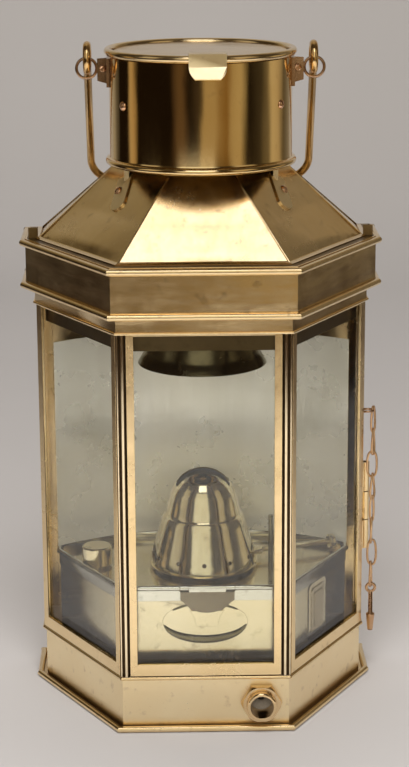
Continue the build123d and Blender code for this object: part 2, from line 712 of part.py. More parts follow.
def frame_leaf(low, high):
    """The frame's half of a door hinge: a narrow leaf and two outer knuckles."""
    leaf = block(-109.2, HINGE_X, BACK_FACE_Y, BACK_FACE_Y + SHEET, low, high)
    for z0, z1 in ((low, low + HINGE_SPLIT), (high - HINGE_SPLIT, high)):
        leaf += rod((HINGE_X, HINGE_Y, z0), (HINGE_X, HINGE_Y, z1), HINGE_KNUCKLE_R)
        leaf += block(-109.2, HINGE_X, BACK_FACE_Y, HINGE_Y, z0, z1)
    return leaf - hinge_bore(PIN_R)


def door_leaf(low, high):
    """The door's half: a wide leaf on the door's face and one middle knuckle."""
    z0, z1 = low + HINGE_SPLIT + RUNNING, high - HINGE_SPLIT - RUNNING
    leaf = block(HINGE_X + 3.2, HINGE_X + 16, DOOR_OUT, DOOR_OUT + SHEET, low, high)
    leaf += block(HINGE_X, HINGE_X + 16, DOOR_OUT, DOOR_OUT + SHEET, z0, z1)
    leaf += rod((HINGE_X, HINGE_Y, z0), (HINGE_X, HINGE_Y, z1), HINGE_KNUCKLE_R)
    return leaf - hinge_bore(PIN_R + PIN_FIT)


def hinge_pin(low, high):
    return rod((HINGE_X, HINGE_Y, low), (HINGE_X, HINGE_Y, high), PIN_R)


LATCH_X = 115.0
LATCH_Y = 70.2
LATCH_R = 3.0
LATCH_BORE_R = 1.9
LATCH_WALL_BANDS = [(77.0, 98.0), (119.0, 140.0)]
LATCH_DOOR_BAND = (98.4, 118.6)


def latch_bore():
    return rod((LATCH_X, LATCH_Y, 60), (LATCH_X, LATCH_Y, 160), LATCH_BORE_R)


def latch_wall():
    """A leaf on the side wall that carries the two outer barrels for the drop pin."""
    low, high = LATCH_WALL_BANDS[0][0], LATCH_WALL_BANDS[-1][1]
    solid = block(WALL_OUTER_X, WALL_OUTER_X + SHEET, 48, 66.5, low, high)
    for z0, z1 in LATCH_WALL_BANDS:
        solid += block(WALL_OUTER_X, LATCH_X - 1.5, 65.0, 69.0, z0, z1)
        solid += rod((LATCH_X, LATCH_Y, z0), (LATCH_X, LATCH_Y, z1), LATCH_R)
    return solid - latch_bore()


def latch_door():
    """A leaf on the door that carries the middle barrel."""
    z0, z1 = LATCH_DOOR_BAND
    leaf = block(88, LATCH_X - 1.5, DOOR_OUT, DOOR_OUT + SHEET, z0, z1)
    return leaf + rod((LATCH_X, LATCH_Y, z0), (LATCH_X, LATCH_Y, z1), LATCH_R) - latch_bore()


keep("door_panel", block(-DOOR_X, DOOR_X, DOOR_IN, DOOR_OUT, DOOR_LOW, DOOR_HIGH))
keep("door_hinge_frame_leaves", in_each_band(frame_leaf))
keep("door_hinge_door_leaves", in_each_band(door_leaf))
keep("door_hinge_pins", in_each_band(hinge_pin))
keep("latch_wall_knuckles", latch_wall())
keep("latch_door_knuckle", latch_door())

# ---- Chain and locking pin ----------------------------------------------------------------
CHAIN_X = 116.3
CHAIN_Y = 34.0
STAPLE_Z = 187.0
STAPLE_WIRE_R = 0.75
LINK_WIRE_R = 0.8
LINK_LENGTH = 19.4      # outside length
LINK_WIDTH = 7.2
LINK_COUNT = 8
LINK_PITCH = LINK_LENGTH - 4 * LINK_WIRE_R - 0.35


def link(centre_z, across):
    """A long oval link; across is True where it lies across the wall's plane."""
    half_w = LINK_WIDTH / 2 - LINK_WIRE_R
    half_l = LINK_LENGTH / 2 - LINK_WIRE_R
    straight = half_l - half_w

    def at(w, z):
        return Vector(CHAIN_X + (w if across else 0), CHAIN_Y + (0 if across else w), centre_z + z)

    path = Wire([
        Line(at(-half_w, -straight), at(-half_w, straight)),
        ThreePointArc(at(-half_w, straight), at(0, half_l), at(half_w, straight)),
        Line(at(half_w, straight), at(half_w, -straight)),
        ThreePointArc(at(half_w, -straight), at(0, -half_l), at(-half_w, -straight)),
    ])
    return swept(path, LINK_WIRE_R)


def chain_staple():
    """A bent wire loop standing out from the side wall."""
    x0, x1 = WALL_OUTER_X, CHAIN_X
    path = Wire([
        Line((x0, CHAIN_Y - 3.4, STAPLE_Z), (x1 - 3.4, CHAIN_Y - 3.4, STAPLE_Z)),
        ThreePointArc((x1 - 3.4, CHAIN_Y - 3.4, STAPLE_Z), (x1, CHAIN_Y, STAPLE_Z), (x1 - 3.4, CHAIN_Y + 3.4, STAPLE_Z)),
        Line((x1 - 3.4, CHAIN_Y + 3.4, STAPLE_Z), (x0, CHAIN_Y + 3.4, STAPLE_Z)),
    ])
    return swept(path, STAPLE_WIRE_R)


FIRST_LINK_Z = STAPLE_Z + 2.7 + LINK_WIRE_R - LINK_LENGTH / 2
LAST_LINK_Z = FIRST_LINK_Z - (LINK_COUNT - 1) * LINK_PITCH
PIN_EYE_Z = LAST_LINK_Z - LINK_LENGTH / 2 - 0.2
PIN_EYE_R = 2.9
PIN_WIRE_R = 1.0


def locking_pin():
    """A drop pin: an eye for the chain, a short shank and an arrow-shaped end."""
    eye_z = PIN_EYE_Z
    eye = hoop((CHAIN_X, CHAIN_Y, eye_z), (0, 1, 0), PIN_EYE_R, PIN_WIRE_R)
    shank = rod((CHAIN_X, CHAIN_Y, eye_z - 19), (CHAIN_X, CHAIN_Y, eye_z - PIN_EYE_R), 1.5)
    head_points = [(0, eye_z - 31), (1.8, eye_z - 31), (3.0, eye_z - 19.4), (2.6, eye_z - 18.8), (0, eye_z - 18.8)]
    head = turned(head_points, CHAIN_X, CHAIN_Y)
    return eye + shank + head


keep("chain_staple", chain_staple())
keep("chain_links", [link(FIRST_LINK_Z - i * LINK_PITCH, i % 2 == 0) for i in range(LINK_COUNT)])
keep("locking_pin", locking_pin())

# ---- Reflector ----------------------------------------------------------------------------
REFLECTOR_X = 98.5
REFLECTOR_END_Y = 27.0
REFLECTOR_MID_Y = 61.0
REFLECTOR_T = 0.9
REFLECTOR_HIGH = 238.0
TANK_TOP = 90.0
BEAD_Z = 93.4           # the tank's rolled rim
BEAD_R = 1.7
RIM_HIGH = BEAD_Z + BEAD_R


def reflector():
    """A sheet bent to an arc, standing on the tank's rim behind the burner."""
    x, z = REFLECTOR_X, RIM_HIGH
    end_y, mid_y = REFLECTOR_END_Y, REFLECTOR_MID_Y
    t = REFLECTOR_T
    front = ThreePointArc((-x, end_y, z), (0, mid_y, z), (x, end_y, z))
    back = ThreePointArc((x, end_y + t, z), (0, mid_y + t, z), (-x, end_y + t, z))
    edges = Wire([front, Line(front @ 1, back @ 0), back, Line(back @ 1, front @ 0)])
    return extrude(make_face(edges), amount=REFLECTOR_HIGH - z, dir=(0, 0, 1))


keep("reflector", reflector())

# ---- Oil tank -----------------------------------------------------------------------------
TANK_LOW = BOX_TOP
TANK_WALL = 1.0
TANK_FRONT_Y = -53.8
TANK_PROW = 87.0        # distance of the slanting walls from the point between the side corners
TANK_X = 97.0
TANK_BACK_Y = 58.0
TANK_CORNER_R = 10.0
RIM_LOW = 84.6
RIM_T = 0.7
BEAD_OUT = 0.5          # the bead's middle stands this far outside the tank's wall


def tank_outline(grow):
    """The tank's plan, grown outwards by an even amount."""
    front = TANK_FRONT_Y - grow
    prow = TANK_PROW + grow
    side = TANK_X + grow
    front_x = (prow - SIN30 * (CORNER_Y - front)) / COS30
    side_y = CORNER_Y - (prow - COS30 * side) / SIN30
    back = TANK_BACK_Y + grow
    return [(-front_x, front), (front_x, front), (side, side_y), (side, back), (-side, back), (-side, side_y)]


def tank_form(grow, low, high):
    form = prism(tank_outline(grow), low, high)
    corners = form.edges().filter_by(Axis.Z).group_by(Axis.Y)[-1]
    return fillet(corners, TANK_CORNER_R + grow)


FILLER_X = -71.2
FILLER_Y = 1.0
FILLER_NECK_R = 7.0
FILLER_BORE_R = 5.6
CAP_R = 10.0
DISH_Z = 70.0
DISH_A = 27.6
DISH_B = 13.2
BURNER_COLLAR_R = 16.0


def oil_tank():
    """A closed tin with holes for the burner's collar and the filler, and a pressed oval in front."""
    shell = tank_form(0, TANK_LOW, TANK_TOP) - tank_form(-TANK_WALL, TANK_LOW + TANK_WALL, TANK_TOP - TANK_WALL)
    shell -= rod((0, 0, TANK_TOP - 3), (0, 0, TANK_TOP + 3), BURNER_COLLAR_R)
    shell -= rod((FILLER_X, FILLER_Y, TANK_TOP - 3), (FILLER_X, FILLER_Y, TANK_TOP + 3), FILLER_NECK_R)
    plane = Plane(origin=(0, TANK_FRONT_Y + 0.5, DISH_Z), x_dir=(1, 0, 0), z_dir=(0, -1, 0))
    return shell - plane * extrude(Ellipse(DISH_A, DISH_B), amount=3)


PANEL_CENTRE_Z = 64.0
PANEL_W = 25.0
PANEL_H = 40.0
PANEL_STEP = 0.6


def tank_side_panel():
    """A pressed panel on the right slanting wall, in three shallow steps."""
    corners = tank_outline(0)
    a = Vector(*corners[1])
    b = Vector(*corners[2])
    along = (b - a).normalized()
    middle = (a + b) * 0.5
    plane = Plane(origin=(middle.X, middle.Y, PANEL_CENTRE_Z), x_dir=along, z_dir=Vector(along.Y, -along.X))
    panel = None
    for i in range(3):
        inset = 3.4 * i
        size = RectangleRounded(PANEL_W - 2 * inset, PANEL_H - 2 * inset, 4.5 - inset / 2)
        layer = plane * extrude(Pos(0, 0, i * PANEL_STEP) * size, amount=PANEL_STEP)
        panel = layer if panel is None else panel + layer
    return panel


CAP_LOW = 92.0
CAP_HIGH = 104.5


def filler_cap():
    """A hollow knurled cap that turns on the neck's thread."""
    cap = rod((FILLER_X, FILLER_Y, CAP_LOW), (FILLER_X, FILLER_Y, CAP_HIGH), CAP_R)
    cap = chamfer(cap.edges().group_by(Axis.Z)[-1], 1.0)
    return cap - rod((FILLER_X, FILLER_Y, CAP_LOW - CUT), (FILLER_X, FILLER_Y, CAP_HIGH - 3), FILLER_NECK_R + 0.08)


# The cover flap in front of the tank: its hinge takes the place of a length of the rim's bead
FLAP_Y = TANK_FRONT_Y - BEAD_OUT
FLAP_Z = BEAD_Z
FLAP_BARREL_R = 1.55
FLAP_KNUCKLE_R = 2.0
FLAP_KNUCKLE_W = 5.6
FLAP_X0 = -16.2
FLAP_X1 = 19.2
FLAP_PIN_R = 0.6
FLAP_T = 0.9
FLAP_SHOULDER_Z = 85.3
FLAP_WAIST_Z = 78.0
FLAP_LOW = 67.0
BEAD_GAP_Z = 91.0


def flap_rod(x0, x1, radius):
    return rod((x0, FLAP_Y, FLAP_Z), (x1, FLAP_Y, FLAP_Z), radius)


def tank_rim():
    """A band round the top of the tank with a rolled bead, cut away where the flap is hinged."""
    high = RIM_HIGH + CUT
    band = tank_form(RIM_T, RIM_LOW, BEAD_Z) - tank_form(0, RIM_LOW - CUT, high)
    bead = tank_form(BEAD_OUT + BEAD_R, BEAD_Z - BEAD_R, RIM_HIGH)
    bead -= tank_form(BEAD_OUT - BEAD_R, BEAD_Z - BEAD_R - CUT, high)
    levels = bead.edges().group_by(Axis.Z)
    bead = fillet(levels[0] + levels[-1], BEAD_R - 0.15)
    gap = block(FLAP_X0 - RUNNING, FLAP_X1 + RUNNING, TANK_FRONT_Y - 5, TANK_FRONT_Y + 5, BEAD_GAP_Z, high)
    return band + bead - gap


def tank_flap_leaf():
    """The tank's half of the flap hinge: a strip on the tank's top with a knuckle at either end."""
    y0 = TANK_FRONT_Y + 0.1
    solid = block(FLAP_X0, FLAP_X1, y0, -46, TANK_TOP, TANK_TOP + 1.0)
    for x0 in (FLAP_X0, FLAP_X1 - FLAP_KNUCKLE_W):
        solid += block(x0, x0 + FLAP_KNUCKLE_W, y0, y0 + 1.2, TANK_TOP, FLAP_Z + 0.6)
        solid += flap_rod(x0, x0 + FLAP_KNUCKLE_W, FLAP_KNUCKLE_R)
    return solid - flap_rod(FLAP_X0 - 1, FLAP_X1 + 1, FLAP_PIN_R)


def tank_flap():
    """The flap: a plate that narrows to a strap, hung from a barrel between the knuckles."""
    y0 = FLAP_Y - FLAP_BARREL_R
    x0, x1 = FLAP_X0 + 0.2, FLAP_X1 - 0.2
    points = [(x0, BEAD_GAP_Z), (x1, BEAD_GAP_Z), (x1, FLAP_SHOULDER_Z), (8.3, FLAP_WAIST_Z), (8.3, FLAP_LOW),
              (-6.0, FLAP_LOW), (-6.0, FLAP_WAIST_Z), (x0, FLAP_SHOULDER_Z)]
    face = make_face(Polyline(*[(x, y0, z) for x, z in points], close=True))
    solid = extrude(face, amount=FLAP_T, dir=(0, 1, 0))
    x0 = FLAP_X0 + FLAP_KNUCKLE_W + RUNNING
    x1 = FLAP_X1 - FLAP_KNUCKLE_W - RUNNING
    solid += block(x0, x1, y0, y0 + FLAP_T, BEAD_GAP_Z - 1, FLAP_Z)
    solid += flap_rod(x0, x1, FLAP_BARREL_R)
    return solid - flap_rod(x0 - 1, x1 + 1, FLAP_PIN_R + PIN_FIT)


keep("oil_tank", oil_tank())
keep("tank_rim", tank_rim())
keep("tank_side_panel", tank_side_panel())
keep("tank_flap_leaf", tank_flap_leaf())
keep("tank_flap", tank_flap())
keep("tank_flap_pin", flap_rod(FLAP_X0, FLAP_X1, FLAP_PIN_R))
keep("filler_neck", tube(FILLER_NECK_R, FILLER_BORE_R, TANK_TOP - TANK_WALL, 100, FILLER_X, FILLER_Y))
keep("filler_cap", filler_cap())

# ---- Burner -------------------------------------------------------------------------------
SHAFT_Z = 96.2
SHAFT_R = 1.8
SHAFT_ANGLE = math.radians(18)
SHAFT_START_X = 24.0
KNOB_X = 88.0
KNOB_R = 4.9
WICK_X = 11.0
WICK_Y = 1.2
WICK_TUBE_X = 13.0
WICK_TUBE_Y = 2.8
SLOT_Y = 7.5
SLOT_Z = 146.6
VENT_COUNT = 12
VENT_R = 1.45
VENT_Z = 101.0
SKIRT_OUTSIDE = [(31.0, 90.0), (31.0, 91.8), (35.0, 92.1), (36.0, 93.4), (35.8, 95.2), (27.3, 125.2), (26.4, 126.6)]
SKIRT_INSIDE = [(25.2, 126.6), (26.0, 125.4), (34.6, 95.2), (34.4, 93.2), (30.0, 92.9), (30.0, 90.0)]
DOME_OUTSIDE = [(26.4, 126.6), (25.3, 127.6), (24.9, 129.0), (23.0, 136.7), (21.3, 142.6), (19.2, 146.6), (16.0, 151.0),
                (11.6, 154.6), (6.0, 157.0), (0, 157.8)]
DOME_INSIDE = [(0, 156.9), (5.8, 156.1), (11.0, 153.8), (15.2, 150.4), (18.3, 146.2), (20.4, 142.3), (22.1, 136.5),
               (24.0, 128.8), (24.3, 126.6)]


def shaft_point(x):
    """A point on the winder's axis, which points slightly backwards."""
    return (x, 21.0 + (x - 66.0) * math.tan(SHAFT_ANGLE), SHAFT_Z)


def burner_gallery():
    """The pierced skirt, hollow, with the winder's bearing in its wall."""
    skirt = turned(SKIRT_OUTSIDE + SKIRT_INSIDE)
    for i in range(VENT_COUNT):
        a = math.radians(270) + 2 * math.pi * i / VENT_COUNT
        c, s = math.cos(a), math.sin(a)
        skirt -= rod((28 * c, 28 * s, VENT_Z), (40 * c, 40 * s, VENT_Z), VENT_R)
    skirt += rod(shaft_point(32.5), shaft_point(39.0), 3.2)
    return skirt - rod(shaft_point(20.0), shaft_point(50.0), SHAFT_R + PIN_FIT)


def burner_dome():
    """The domed draught cap with the flame's wide slot across its top."""
    dome = turned(DOME_OUTSIDE + DOME_INSIDE)
    return dome - block(-30, 30, -SLOT_Y, SLOT_Y, SLOT_Z, 170)


def wick_tube():
    """A flat tube from the collar up towards the slot, open for the wick and cut for the winder's star wheel."""
    collar = rod((0, 0, TANK_TOP - 4), (0, 0, TANK_TOP + 2.4), BURNER_COLLAR_R)
    outer = block(-WICK_TUBE_X, WICK_TUBE_X, -WICK_TUBE_Y, WICK_TUBE_Y, 60, 147)
    bore = block(-WICK_X - 0.4, WICK_X + 0.4, -WICK_Y - 0.4, WICK_Y + 0.4, 50, 160)
    return collar + outer - bore


def winder_shaft():
    return rod(shaft_point(SHAFT_START_X), shaft_point(KNOB_X - 2), SHAFT_R)


def winder_knob():
    """A coin-edged knob on the shaft's end."""
    knob = rod(shaft_point(KNOB_X - 2), shaft_point(KNOB_X + 2), KNOB_R)
    return chamfer(knob.edges(), 0.6)


ROD_X = 45.0
ROD_Y = -4.0

keep("burner_gallery", burner_gallery())
keep("burner_dome", burner_dome())
keep("wick_tube", wick_tube())
keep("wick", block(-WICK_X, WICK_X, -WICK_Y, WICK_Y, 52, 151))
keep("winder_shaft", winder_shaft())
keep("winder_knob", winder_knob())
keep("tank_upright", rod((ROD_X, ROD_Y, TANK_TOP), (ROD_X, ROD_Y, 126), 1.6))

for name, shape in parts.items():
    export_step(shape, f"parts/{name}.step")
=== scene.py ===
import json
import math

import bmesh
import bpy
from mathutils import Matrix, Vector, noise


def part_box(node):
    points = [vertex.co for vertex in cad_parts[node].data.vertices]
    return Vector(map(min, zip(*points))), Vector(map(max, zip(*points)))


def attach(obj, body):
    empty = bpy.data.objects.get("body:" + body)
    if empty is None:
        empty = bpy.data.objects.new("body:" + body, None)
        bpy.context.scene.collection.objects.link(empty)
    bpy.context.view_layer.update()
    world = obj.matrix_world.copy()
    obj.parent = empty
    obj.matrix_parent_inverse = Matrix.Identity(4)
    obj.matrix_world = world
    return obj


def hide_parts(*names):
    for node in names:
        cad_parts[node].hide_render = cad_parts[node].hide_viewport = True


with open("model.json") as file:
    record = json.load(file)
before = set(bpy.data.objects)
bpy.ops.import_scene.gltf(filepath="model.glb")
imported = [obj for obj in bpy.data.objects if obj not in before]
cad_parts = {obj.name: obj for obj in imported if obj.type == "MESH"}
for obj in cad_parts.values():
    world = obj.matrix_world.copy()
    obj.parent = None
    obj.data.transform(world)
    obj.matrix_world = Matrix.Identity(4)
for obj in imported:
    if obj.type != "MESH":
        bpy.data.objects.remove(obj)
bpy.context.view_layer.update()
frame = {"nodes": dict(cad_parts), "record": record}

MM = 0.001
NODES = frame["nodes"]
BODY_OF = {n: b for b, members in frame["record"]["behaviour"]["bodies"].items() for n in members}
SLOT_OF = {s["node"]: s["material_slot"] for s in frame["record"]["subparts"]}


def low(node):
    """The lowest corner of a CAD node, in millimetres."""
    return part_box(node)[0] / MM


def high(node):
    """The highest corner of a CAD node, in millimetres."""
    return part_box(node)[1] / MM


# The case's plan, in millimetres: the length of a glazed facet, half the case's depth, and
# where the angled facets meet the side walls.
FACET, HALF_DEPTH = high("base_box").xy
COS30 = math.cos(math.radians(30))
CORNER_Y = COS30 * FACET - HALF_DEPTH


# ---- Node trees -----------------------------------------------------------------------------
class Tree:
    """A short way to write a node tree."""

    def __init__(self, owner):
        owner.use_nodes = True
        self.t = owner.node_tree
        self.t.nodes.clear()

    def feed(self, socket, value):
        """Links an output to a socket, or sets the socket's own value."""
        if hasattr(value, "is_output"):
            self.t.links.new(value, socket)
        elif isinstance(value, tuple) and socket.type == "RGBA" and len(value) == 3:
            socket.default_value = (*value, 1)
        else:
            socket.default_value = value

    def add(self, kind, **values):
        n = self.t.nodes.new("ShaderNode" + kind)
        for key, value in values.items():
            name = key.replace("_", " ")
            if name in n.inputs:
                self.feed(n.inputs[name], value)
            else:
                setattr(n, key, value)
        return n

    def link(self, a, b):
        self.t.links.new(a, b)

    def math(self, op, a, b=0.0):
        n = self.add("Math", operation=op)
        self.feed(n.inputs[0], a)
        self.feed(n.inputs[1], b)
        return n.outputs[0]

    def ramp(self, fac, stops):
        n = self.add("ValToRGB")
        n.color_ramp.interpolation = "LINEAR"
        elements = n.color_ramp.elements
        while len(elements) > 1:
            elements.remove(elements[-1])
        elements[0].position = stops[0][0]
        elements[0].color = (*stops[0][1], 1)
        for position, colour in stops[1:]:
            elements.new(position).color = (*colour, 1)
        self.link(fac, n.inputs["Fac"])
        return n.outputs["Color"]

    def noise(self, vec, scale, detail=3.0, rough=0.5, distortion=0.0):
        n = self.add("TexNoise", Vector=vec, Scale=scale, Detail=detail, Roughness=rough,
                     Distortion=distortion)
        return n.outputs["Fac"]

    def mix(self, fac, a, b):
        n = self.add("Mix", data_type="RGBA", blend_type="MIX")
        self.feed(n.inputs[0], fac)
        self.feed(n.inputs[6], a)
        self.feed(n.inputs[7], b)
        return n.outputs[2]

    def stretched(self, vec, scale):
        n = self.add("Mapping", Vector=vec)
        n.inputs["Scale"].default_value = scale
        return n.outputs["Vector"]

    def bump(self, height, strength, distance, normal=None):
        n = self.add("Bump", Height=height, Strength=strength, Distance=distance)
        if normal:
            self.link(normal, n.inputs["Normal"])
        return n.outputs[0]


def grey(v):
    return (v, v, v)


def principled(name, **values):
    """A new material's tree with one Principled shader; returns material, tree and shader."""
    mat = bpy.data.materials.new(name)
    t = Tree(mat)
    out = t.add("OutputMaterial")
    shader = t.add("BsdfPrincipled", **values)
    t.link(shader.outputs[0], out.inputs[0])
    return mat, t, shader


# ---- Materials ------------------------------------------------------------------------------
def tarnish(t, co, light, dark, stain_and_shade, grime, shadow):
    """Drifting metal colour with brown stains and fine specks, and painted shade in the corners and creases.
    """
    drift = t.noise(co, 14.0, 4.0, 0.6, 0.3)
    colour = t.mix(t.ramp(drift, [(0.3, grey(0)), (0.7, grey(1))]), light, dark)
    spots = t.noise(co, 120.0, 4.0, 0.6, 0.1)
    colour = t.mix(t.ramp(spots, [(0.60, grey(0)), (0.82, grey(grime))]), colour, stain_and_shade)
    specks = t.noise(co, 620.0, 3.0, 0.6)
    colour = t.mix(t.ramp(specks, [(0.68, grey(0)), (0.80, grey(grime))]), colour, stain_and_shade)
    # Ambient occlusion darkens the colour towards the stained colour in creases and corners: painted shade.
    painted_crease_shade = t.add("AmbientOcclusion", Distance=0.0035)
    painted_crease_shade.samples = 4
    return t.mix(t.ramp(painted_crease_shade.outputs["AO"], [(0.15, grey(shadow)), (0.62, grey(0))]), colour, stain_and_shade)


def polish(t, co, rough, grain):
    """Smudges and wipe marks between two roughnesses."""
    smudge = t.noise(co, 30.0, 5.0, 0.65, 0.8)
    wipe = t.noise(t.stretched(co, grain), 260.0, 4.0, 0.6)
    both = t.math("ADD", t.math("MULTIPLY", smudge, 0.65), t.math("MULTIPLY", wipe, 0.35))
    between = t.add("MapRange", Value=both, From_Min=0.3, From_Max=0.75, To_Min=rough[0], To_Max=rough[1])
    return between.outputs[0]


def sheet_relief(t, co, wave, wave_scale, grain):
    """The slow waves, ripples and scratches of worked sheet."""
    along = t.stretched(co, grain)
    waves = t.bump(t.noise(along, wave_scale, 2.0, 0.4, 0.2), wave, 0.004)
    ripples = t.bump(t.noise(along, wave_scale * 6, 3.0, 0.5), wave * 0.3, 0.0006, waves)
    return t.bump(t.noise(along, 1500.0, 2.0, 0.5), 0.12, 0.00008, ripples)


def brass(name, light, dark, stain_and_shade, rough=(0.10, 0.26), wave=0.3, wave_scale=20.0,
          grime=0.5, grain=(1, 1, 1), shadow=0.75):
    """Any of the lantern's metals, from its clean, dull and stained colours; the stained colour is also
    painted into the creases as shade.
    """
    mat, t, shader = principled(name, Metallic=1.0)
    co = t.add("TexCoord").outputs["Object"]
    t.link(tarnish(t, co, light, dark, stain_and_shade, grime, shadow), shader.inputs["Base Color"])
    t.link(polish(t, co, rough, grain), shader.inputs["Roughness"])
    t.link(sheet_relief(t, co, wave, wave_scale, grain), shader.inputs["Normal"])
    return mat


def pane(name):
    """Old plate glass: clear, with a faint film."""
    mat = bpy.data.materials.new(name)
    t = Tree(mat)
    out = t.add("OutputMaterial")
    co = t.add("TexCoord").outputs["Object"]
    film = t.noise(t.stretched(co, (1, 1, 0.25)), 9.0, 2.0, 0.4)
    tint = t.ramp(film, [(0.3, (0.985, 0.99, 0.98)), (0.75, (0.945, 0.95, 0.925))])
    clear = t.add("BsdfTransparent", Color=tint)
    shine = t.add("BsdfPrincipled", Metallic=1.0, Roughness=0.02, Base_Color=(1.0, 1.0, 1.0))
    t.link(t.bump(t.noise(co, 5.0, 2.0, 0.4), 0.25, 0.002), shine.inputs["Normal"])
    facing = t.add("LayerWeight", Blend=0.5).outputs["Facing"]
    mirror = t.math("ADD", t.math("MULTIPLY", t.math("POWER", facing, 5.0), 0.9), 0.035)
    both = t.add("MixShader")
    t.link(mirror, both.inputs[0])
    t.link(clear.outputs[0], both.inputs[1])
    t.link(shine.outputs[0], both.inputs[2])
    t.link(both.outputs[0], out.inputs[0])
    return mat


def silvering(name):
    """Dulled silver plate: a soft, slightly yellow mirror."""
    mat, t, shader = principled(name, Metallic=0.55)
    co = t.add("TexCoord").outputs["Object"]
    upright = t.stretched(co, (1.0, 1.0, 0.18))
    bands = t.ramp(t.noise(upright, 20.0, 4.0, 0.6, 0.3), [(0.32, grey(0)), (0.66, grey(1))])
    colour = t.mix(bands, (0.92, 0.91, 0.86), (0.82, 0.80, 0.72))
    specks = t.ramp(t.noise(co, 520.0, 2.0, 0.5), [(0.6, grey(0)), (0.85, grey(0.2))])
    t.link(t.mix(specks, colour, (0.50, 0.46, 0.36)), shader.inputs["Base Color"])
    rough = t.ramp(t.noise(co, 24.0, 4.0, 0.6), [(0.3, grey(0.20)), (0.7, grey(0.36))])
    t.link(rough, shader.inputs["Roughness"])
    t.link(t.bump(t.noise(upright, 26.0, 2.0), 0.1, 0.002), shader.inputs["Normal"])
    return mat


def cloth_like(name, light, dark, rough):
    """Woven cotton or soft rubber, by its colours."""
    mat, t, shader = principled(name, Roughness=rough)
    co = t.add("TexCoord").outputs["Object"]
    weave = t.noise(co, 700.0, 3.0)
    t.link(t.mix(weave, light, dark), shader.inputs["Base Color"])
    t.link(t.bump(weave, 0.4, 0.0003), shader.inputs["Normal"])
    return mat


# Each metal's clean, dull and stained colours; the stained colour is also painted into the creases as shade.
BRASS = ((0.92, 0.73, 0.44), (0.86, 0.65, 0.35), (0.16, 0.075, 0.03))
DULL = ((0.40, 0.30, 0.15), (0.24, 0.17, 0.08), (0.06, 0.04, 0.02))
GLAND = ((0.92, 0.72, 0.44), (0.78, 0.56, 0.30), (0.16, 0.07, 0.03))
SMOKED = ((0.34, 0.30, 0.19), (0.18, 0.15, 0.08), (0.05, 0.035, 0.015))
LAMP = ((0.92, 0.83, 0.60), (0.86, 0.75, 0.48), (0.20, 0.13, 0.06))
BURNER = ((0.88, 0.80, 0.58), (0.72, 0.60, 0.36), (0.16, 0.10, 0.05))
HANDLE = ((0.88, 0.62, 0.30), (0.76, 0.48, 0.20), (0.18, 0.08, 0.03))
CHAIN = ((0.80, 0.56, 0.33), (0.62, 0.38, 0.22), (0.14, 0.07, 0.04))
COPPER = ((0.88, 0.58, 0.38), (0.76, 0.44, 0.26), (0.16, 0.05, 0.03))
OLD_COPPER = ((0.66, 0.46, 0.30), (0.44, 0.27, 0.17), (0.06, 0.03, 0.015))
SILVER = ((0.86, 0.85, 0.78), (0.70, 0.68, 0.58), (0.16, 0.13, 0.09))
# Darker than the tank's own brass: painted dark reflection on the oval's raised rim.
OVAL_DARK_REFLECTION = ((0.27, 0.23, 0.13), (0.18, 0.15, 0.08), (0.10, 0.07, 0.03))
FLAP = ((0.26, 0.22, 0.155), (0.17, 0.135, 0.09), (0.12, 0.07, 0.04))
DRUM = ((0.90, 0.68, 0.36), (0.84, 0.60, 0.28), (0.16, 0.07, 0.03))
# Paler than the plain brass: painted highlight on the posts' beads and corner edges.
BEAD_LIT = ((0.97, 0.84, 0.60), (0.92, 0.76, 0.50), (0.16, 0.075, 0.03))
# Paler than the plain brass: painted light on the base, the chimney straps and the lid's thumb tab.
BASE_LIT = ((0.98, 0.83, 0.54), (0.95, 0.77, 0.47), (0.30, 0.15, 0.08))
# Near black: painted dark reflection, for the joints beside the posts' beads.
SEAM_DARK_REFLECTION = ((0.10, 0.062, 0.03), (0.065, 0.04, 0.018), (0.03, 0.015, 0.006))
# Dark brown: painted shade, for the recessed roof ledge and the burner's inward faces.
GUTTER_SHADE = ((0.30, 0.21, 0.10), (0.18, 0.12, 0.05), (0.03, 0.015, 0.006))

# The record's material slots.
MATS = {
    "polished_brass": brass("polished_brass", *BRASS),
    "dull_brass": brass("dull_brass", *DULL, rough=(0.35, 0.6)),
    "gland_brass": brass("gland_brass", *GLAND, rough=(0.10, 0.22)),
    "smoked_brass": brass("smoked_brass", *SMOKED, rough=(0.14, 0.34)),
    "lamp_brass": brass("lamp_brass", *LAMP, wave=0.2),
    "burner_brass": brass("burner_brass", *BURNER, rough=(0.04, 0.12), wave=0.12, wave_scale=40.0, grime=0.3),
    "handle_brass": brass("handle_brass", *HANDLE, rough=(0.14, 0.28)),
    "chain_brass": brass("chain_brass", *CHAIN, rough=(0.2, 0.4)),
    "copper": brass("copper", *COPPER, rough=(0.16, 0.3)),
    "tarnished_copper": brass("tarnished_copper", *OLD_COPPER, rough=(0.14, 0.32)),
    "hinge_silver": brass("hinge_silver", *SILVER, rough=(0.08, 0.2)),
    "silvered_reflector": silvering("silvered_reflector"),
    "clear_glass": pane("clear_glass"),
    "pale_seal": cloth_like("pale_seal", (0.36, 0.32, 0.26), (0.22, 0.19, 0.15), 0.6),
    "wick_cotton": cloth_like("wick_cotton", (0.80, 0.76, 0.66), (0.35, 0.30, 0.24), 0.9),
}
